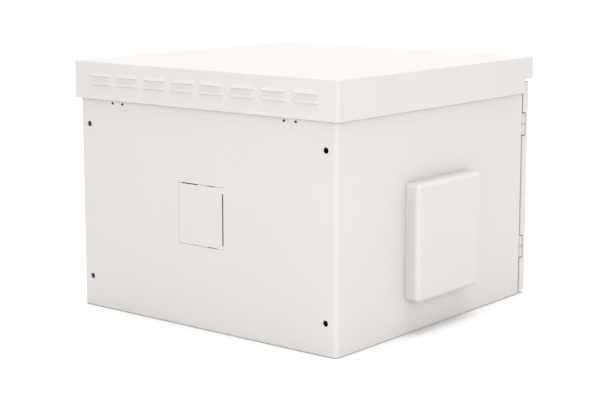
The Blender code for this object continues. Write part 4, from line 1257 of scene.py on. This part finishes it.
def dial_marks(dial, face):
    """Raised marks round the dial, from -45 to 225 degrees."""
    marks = []
    for i in range(DIAL_MARKS):
        turn = math.radians(-45 + 45 * i)
        ahead = Vector((math.cos(turn), math.sin(turn)))
        near = Vector((dial.y, dial.z)) + ahead * DIAL_MARK_START
        far = near + ahead * DIAL_MARK_LENGTH
        marks.append(rod("mark", (face, *near), (face, *far), DIAL_MARK_RADIUS, 8))
    return marks


def thermostat_body():
    """A small thermostat: soft-edged case with air slots, and a raised scale round its dial."""
    low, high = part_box("thermostat_body")
    face = low.x + DIAL_MARK_RISE
    outline = rounded(low.y, low.z, high.y, high.z, (CASE_CORNER,) * 4)
    case = prism("thermostat_case", "YZ", outline, face, high.x)
    slots = []
    for rise in AIR_SLOTS:
        outline = slot_outline(-AIR_SLOT_REACH, AIR_SLOT_REACH, low.z + rise, AIR_SLOT_HALF)
        slots.append(prism("slot", "YZ", outline, face - THROUGH, face + AIR_SLOT_DEPTH))
    cut(case, *slots, *side_vents(low, high))
    marks = dial_marks(middle_of("thermostat_dial"), face)
    case = evaluated(softened(case, 0.0006, 3))
    stand_in(joined([case, *marks], "thermostat_case"), "thermostat_body")


def thermostat_dial():
    """A ridged dial with a pointer groove."""
    low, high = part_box("thermostat_dial")
    centre = middle_of("thermostat_dial").yz
    radius = (high.y - low.y) / 2
    rows = []
    steps = 4 * DIAL_RIDGES
    for shrink, x in ((0, high.x), (0, low.x + DIAL_EDGE), (DIAL_EDGE, low.x)):
        ring = []
        for i in range(steps):
            turn = 2 * math.pi * i / steps
            ridge = DIAL_RIDGE * (0.5 + 0.5 * math.cos(DIAL_RIDGES * turn))
            reach = radius - shrink - ridge
            ring.append((x, centre[0] + reach * math.cos(turn), centre[1] + reach * math.sin(turn)))
        rows.append(ring)
    dial = loft("thermostat_knob", rows)
    groove = [(centre[0] + v, centre[1] + u) for u, v in slot_outline(*DIAL_GROOVE, 0, DIAL_GROOVE_HALF)]
    cut(dial, prism("groove", "YZ", groove, low.x - THROUGH, low.x + DIAL_EDGE))
    stand_in(softened(dial, 0.00015), "thermostat_dial")


# ---- Studio ----

def white_world():
    world = bpy.data.worlds.new("studio")
    world.use_nodes = True
    background = world.node_tree.nodes["Background"]
    background.inputs["Color"].default_value = (1, 1, 1, 1)
    background.inputs["Strength"].default_value = WORLD_STRENGTH
    bpy.context.scene.world = world


def studio_floor():
    half = FLOOR_HALF
    corners = [(x, y, FLOOR_HEIGHT) for x, y in rectangle(-half, -half, half, half)]
    floor = mesh_object("floor", corners, [(0, 1, 2, 3)])
    graph = Graph("floor", Roughness=0.9)
    dark, light = [(tone,) * 3 for tone in FLOOR_TONES]
    floor.data.materials.append(graph.set(Base_Color=graph.tinted(graph.noise(30, 3), dark, light)))


def lamp(name, kind, place, target, **settings):
    """A lamp that lights the object but doesn't glare in its paint."""
    data = bpy.data.lights.new(name, kind)
    for setting, value in settings.items():
        setattr(data, setting, value)
    obj = placed(name, data)
    obj.visible_glossy = False
    obj.location = place
    obj.rotation_euler = (Vector(target) - Vector(place)).to_track_quat("-Z", "Y").to_euler()


def lamps():
    """A sun straight above, which whitens the roof and leaves the walls as they are, and softboxes."""
    lamp("overhead", "SUN", (0, 0, 4), (0, 0, 0), energy=SUN_STRENGTH, angle=math.radians(SUN_SPREAD))
    for name, (place, size, power) in SOFTBOXES.items():
        lamp(name, "AREA", place, SOFTBOX_TARGET, energy=power, size=size)


def camera():
    lens = bpy.data.cameras.new("camera")
    lens.lens = CAMERA_LENS
    lens.shift_y = CAMERA_SHIFT
    obj = placed("camera", lens)
    obj.location = CAMERA_PLACE
    obj.rotation_euler = (math.radians(90 + CAMERA_PITCH), 0, math.radians(180 + CAMERA_YAW))
    bpy.context.scene.camera = obj


# ---- Everything ----

def build_body():
    body_wrap()
    floor_pan()
    ceiling_pan()
    roof_canopy()
    rear_entry_seal()
    floor_entry_seal()
    for number in range(1, 5):
        bracket_screw(number)
        roof_screw(number)
    for side_name, side in (("left", -1), ("right", 1)):
        ceiling_bracket(side_name)
        roof_spacer(side_name, side)
        for level in ("low", "high"):
            depth_bar(side_name, side, level)
            for end in ("front", "rear"):
                rail_bolt(end, side_name, level, side)
        for end in ("front", "rear"):
            rail(end, side_name, side)


def build_fan():
    fan_hood()
    filter_mat()
    fan_housing()
    fan_rotor()
    finger_guard()


def build_door():
    door_panel()
    door_seal()
    for level in ("lower", "upper"):
        for half in ("frame", "door"):
            hinge_half(level, half)
    lock_housing()
    lock_plug()
    lock_cap()


def finish_cad_nodes():
    """Every CAD node that no piece stands in for gets its finish and softer edges."""
    for node, obj in frame["nodes"].items():
        if obj.hide_render:
            continue
        painted(obj, node)
        weld = obj.modifiers.new("Weld", "WELD")
        weld.merge_threshold = 1e-5
        round_edges(obj, EDGE)


def main():
    build_body()
    build_fan()
    build_door()
    thermostat_body()
    thermostat_dial()
    finish_cad_nodes()
    white_world()
    studio_floor()
    lamps()
    camera()


main()
bpy.context.scene.view_settings.view_transform = "Standard"
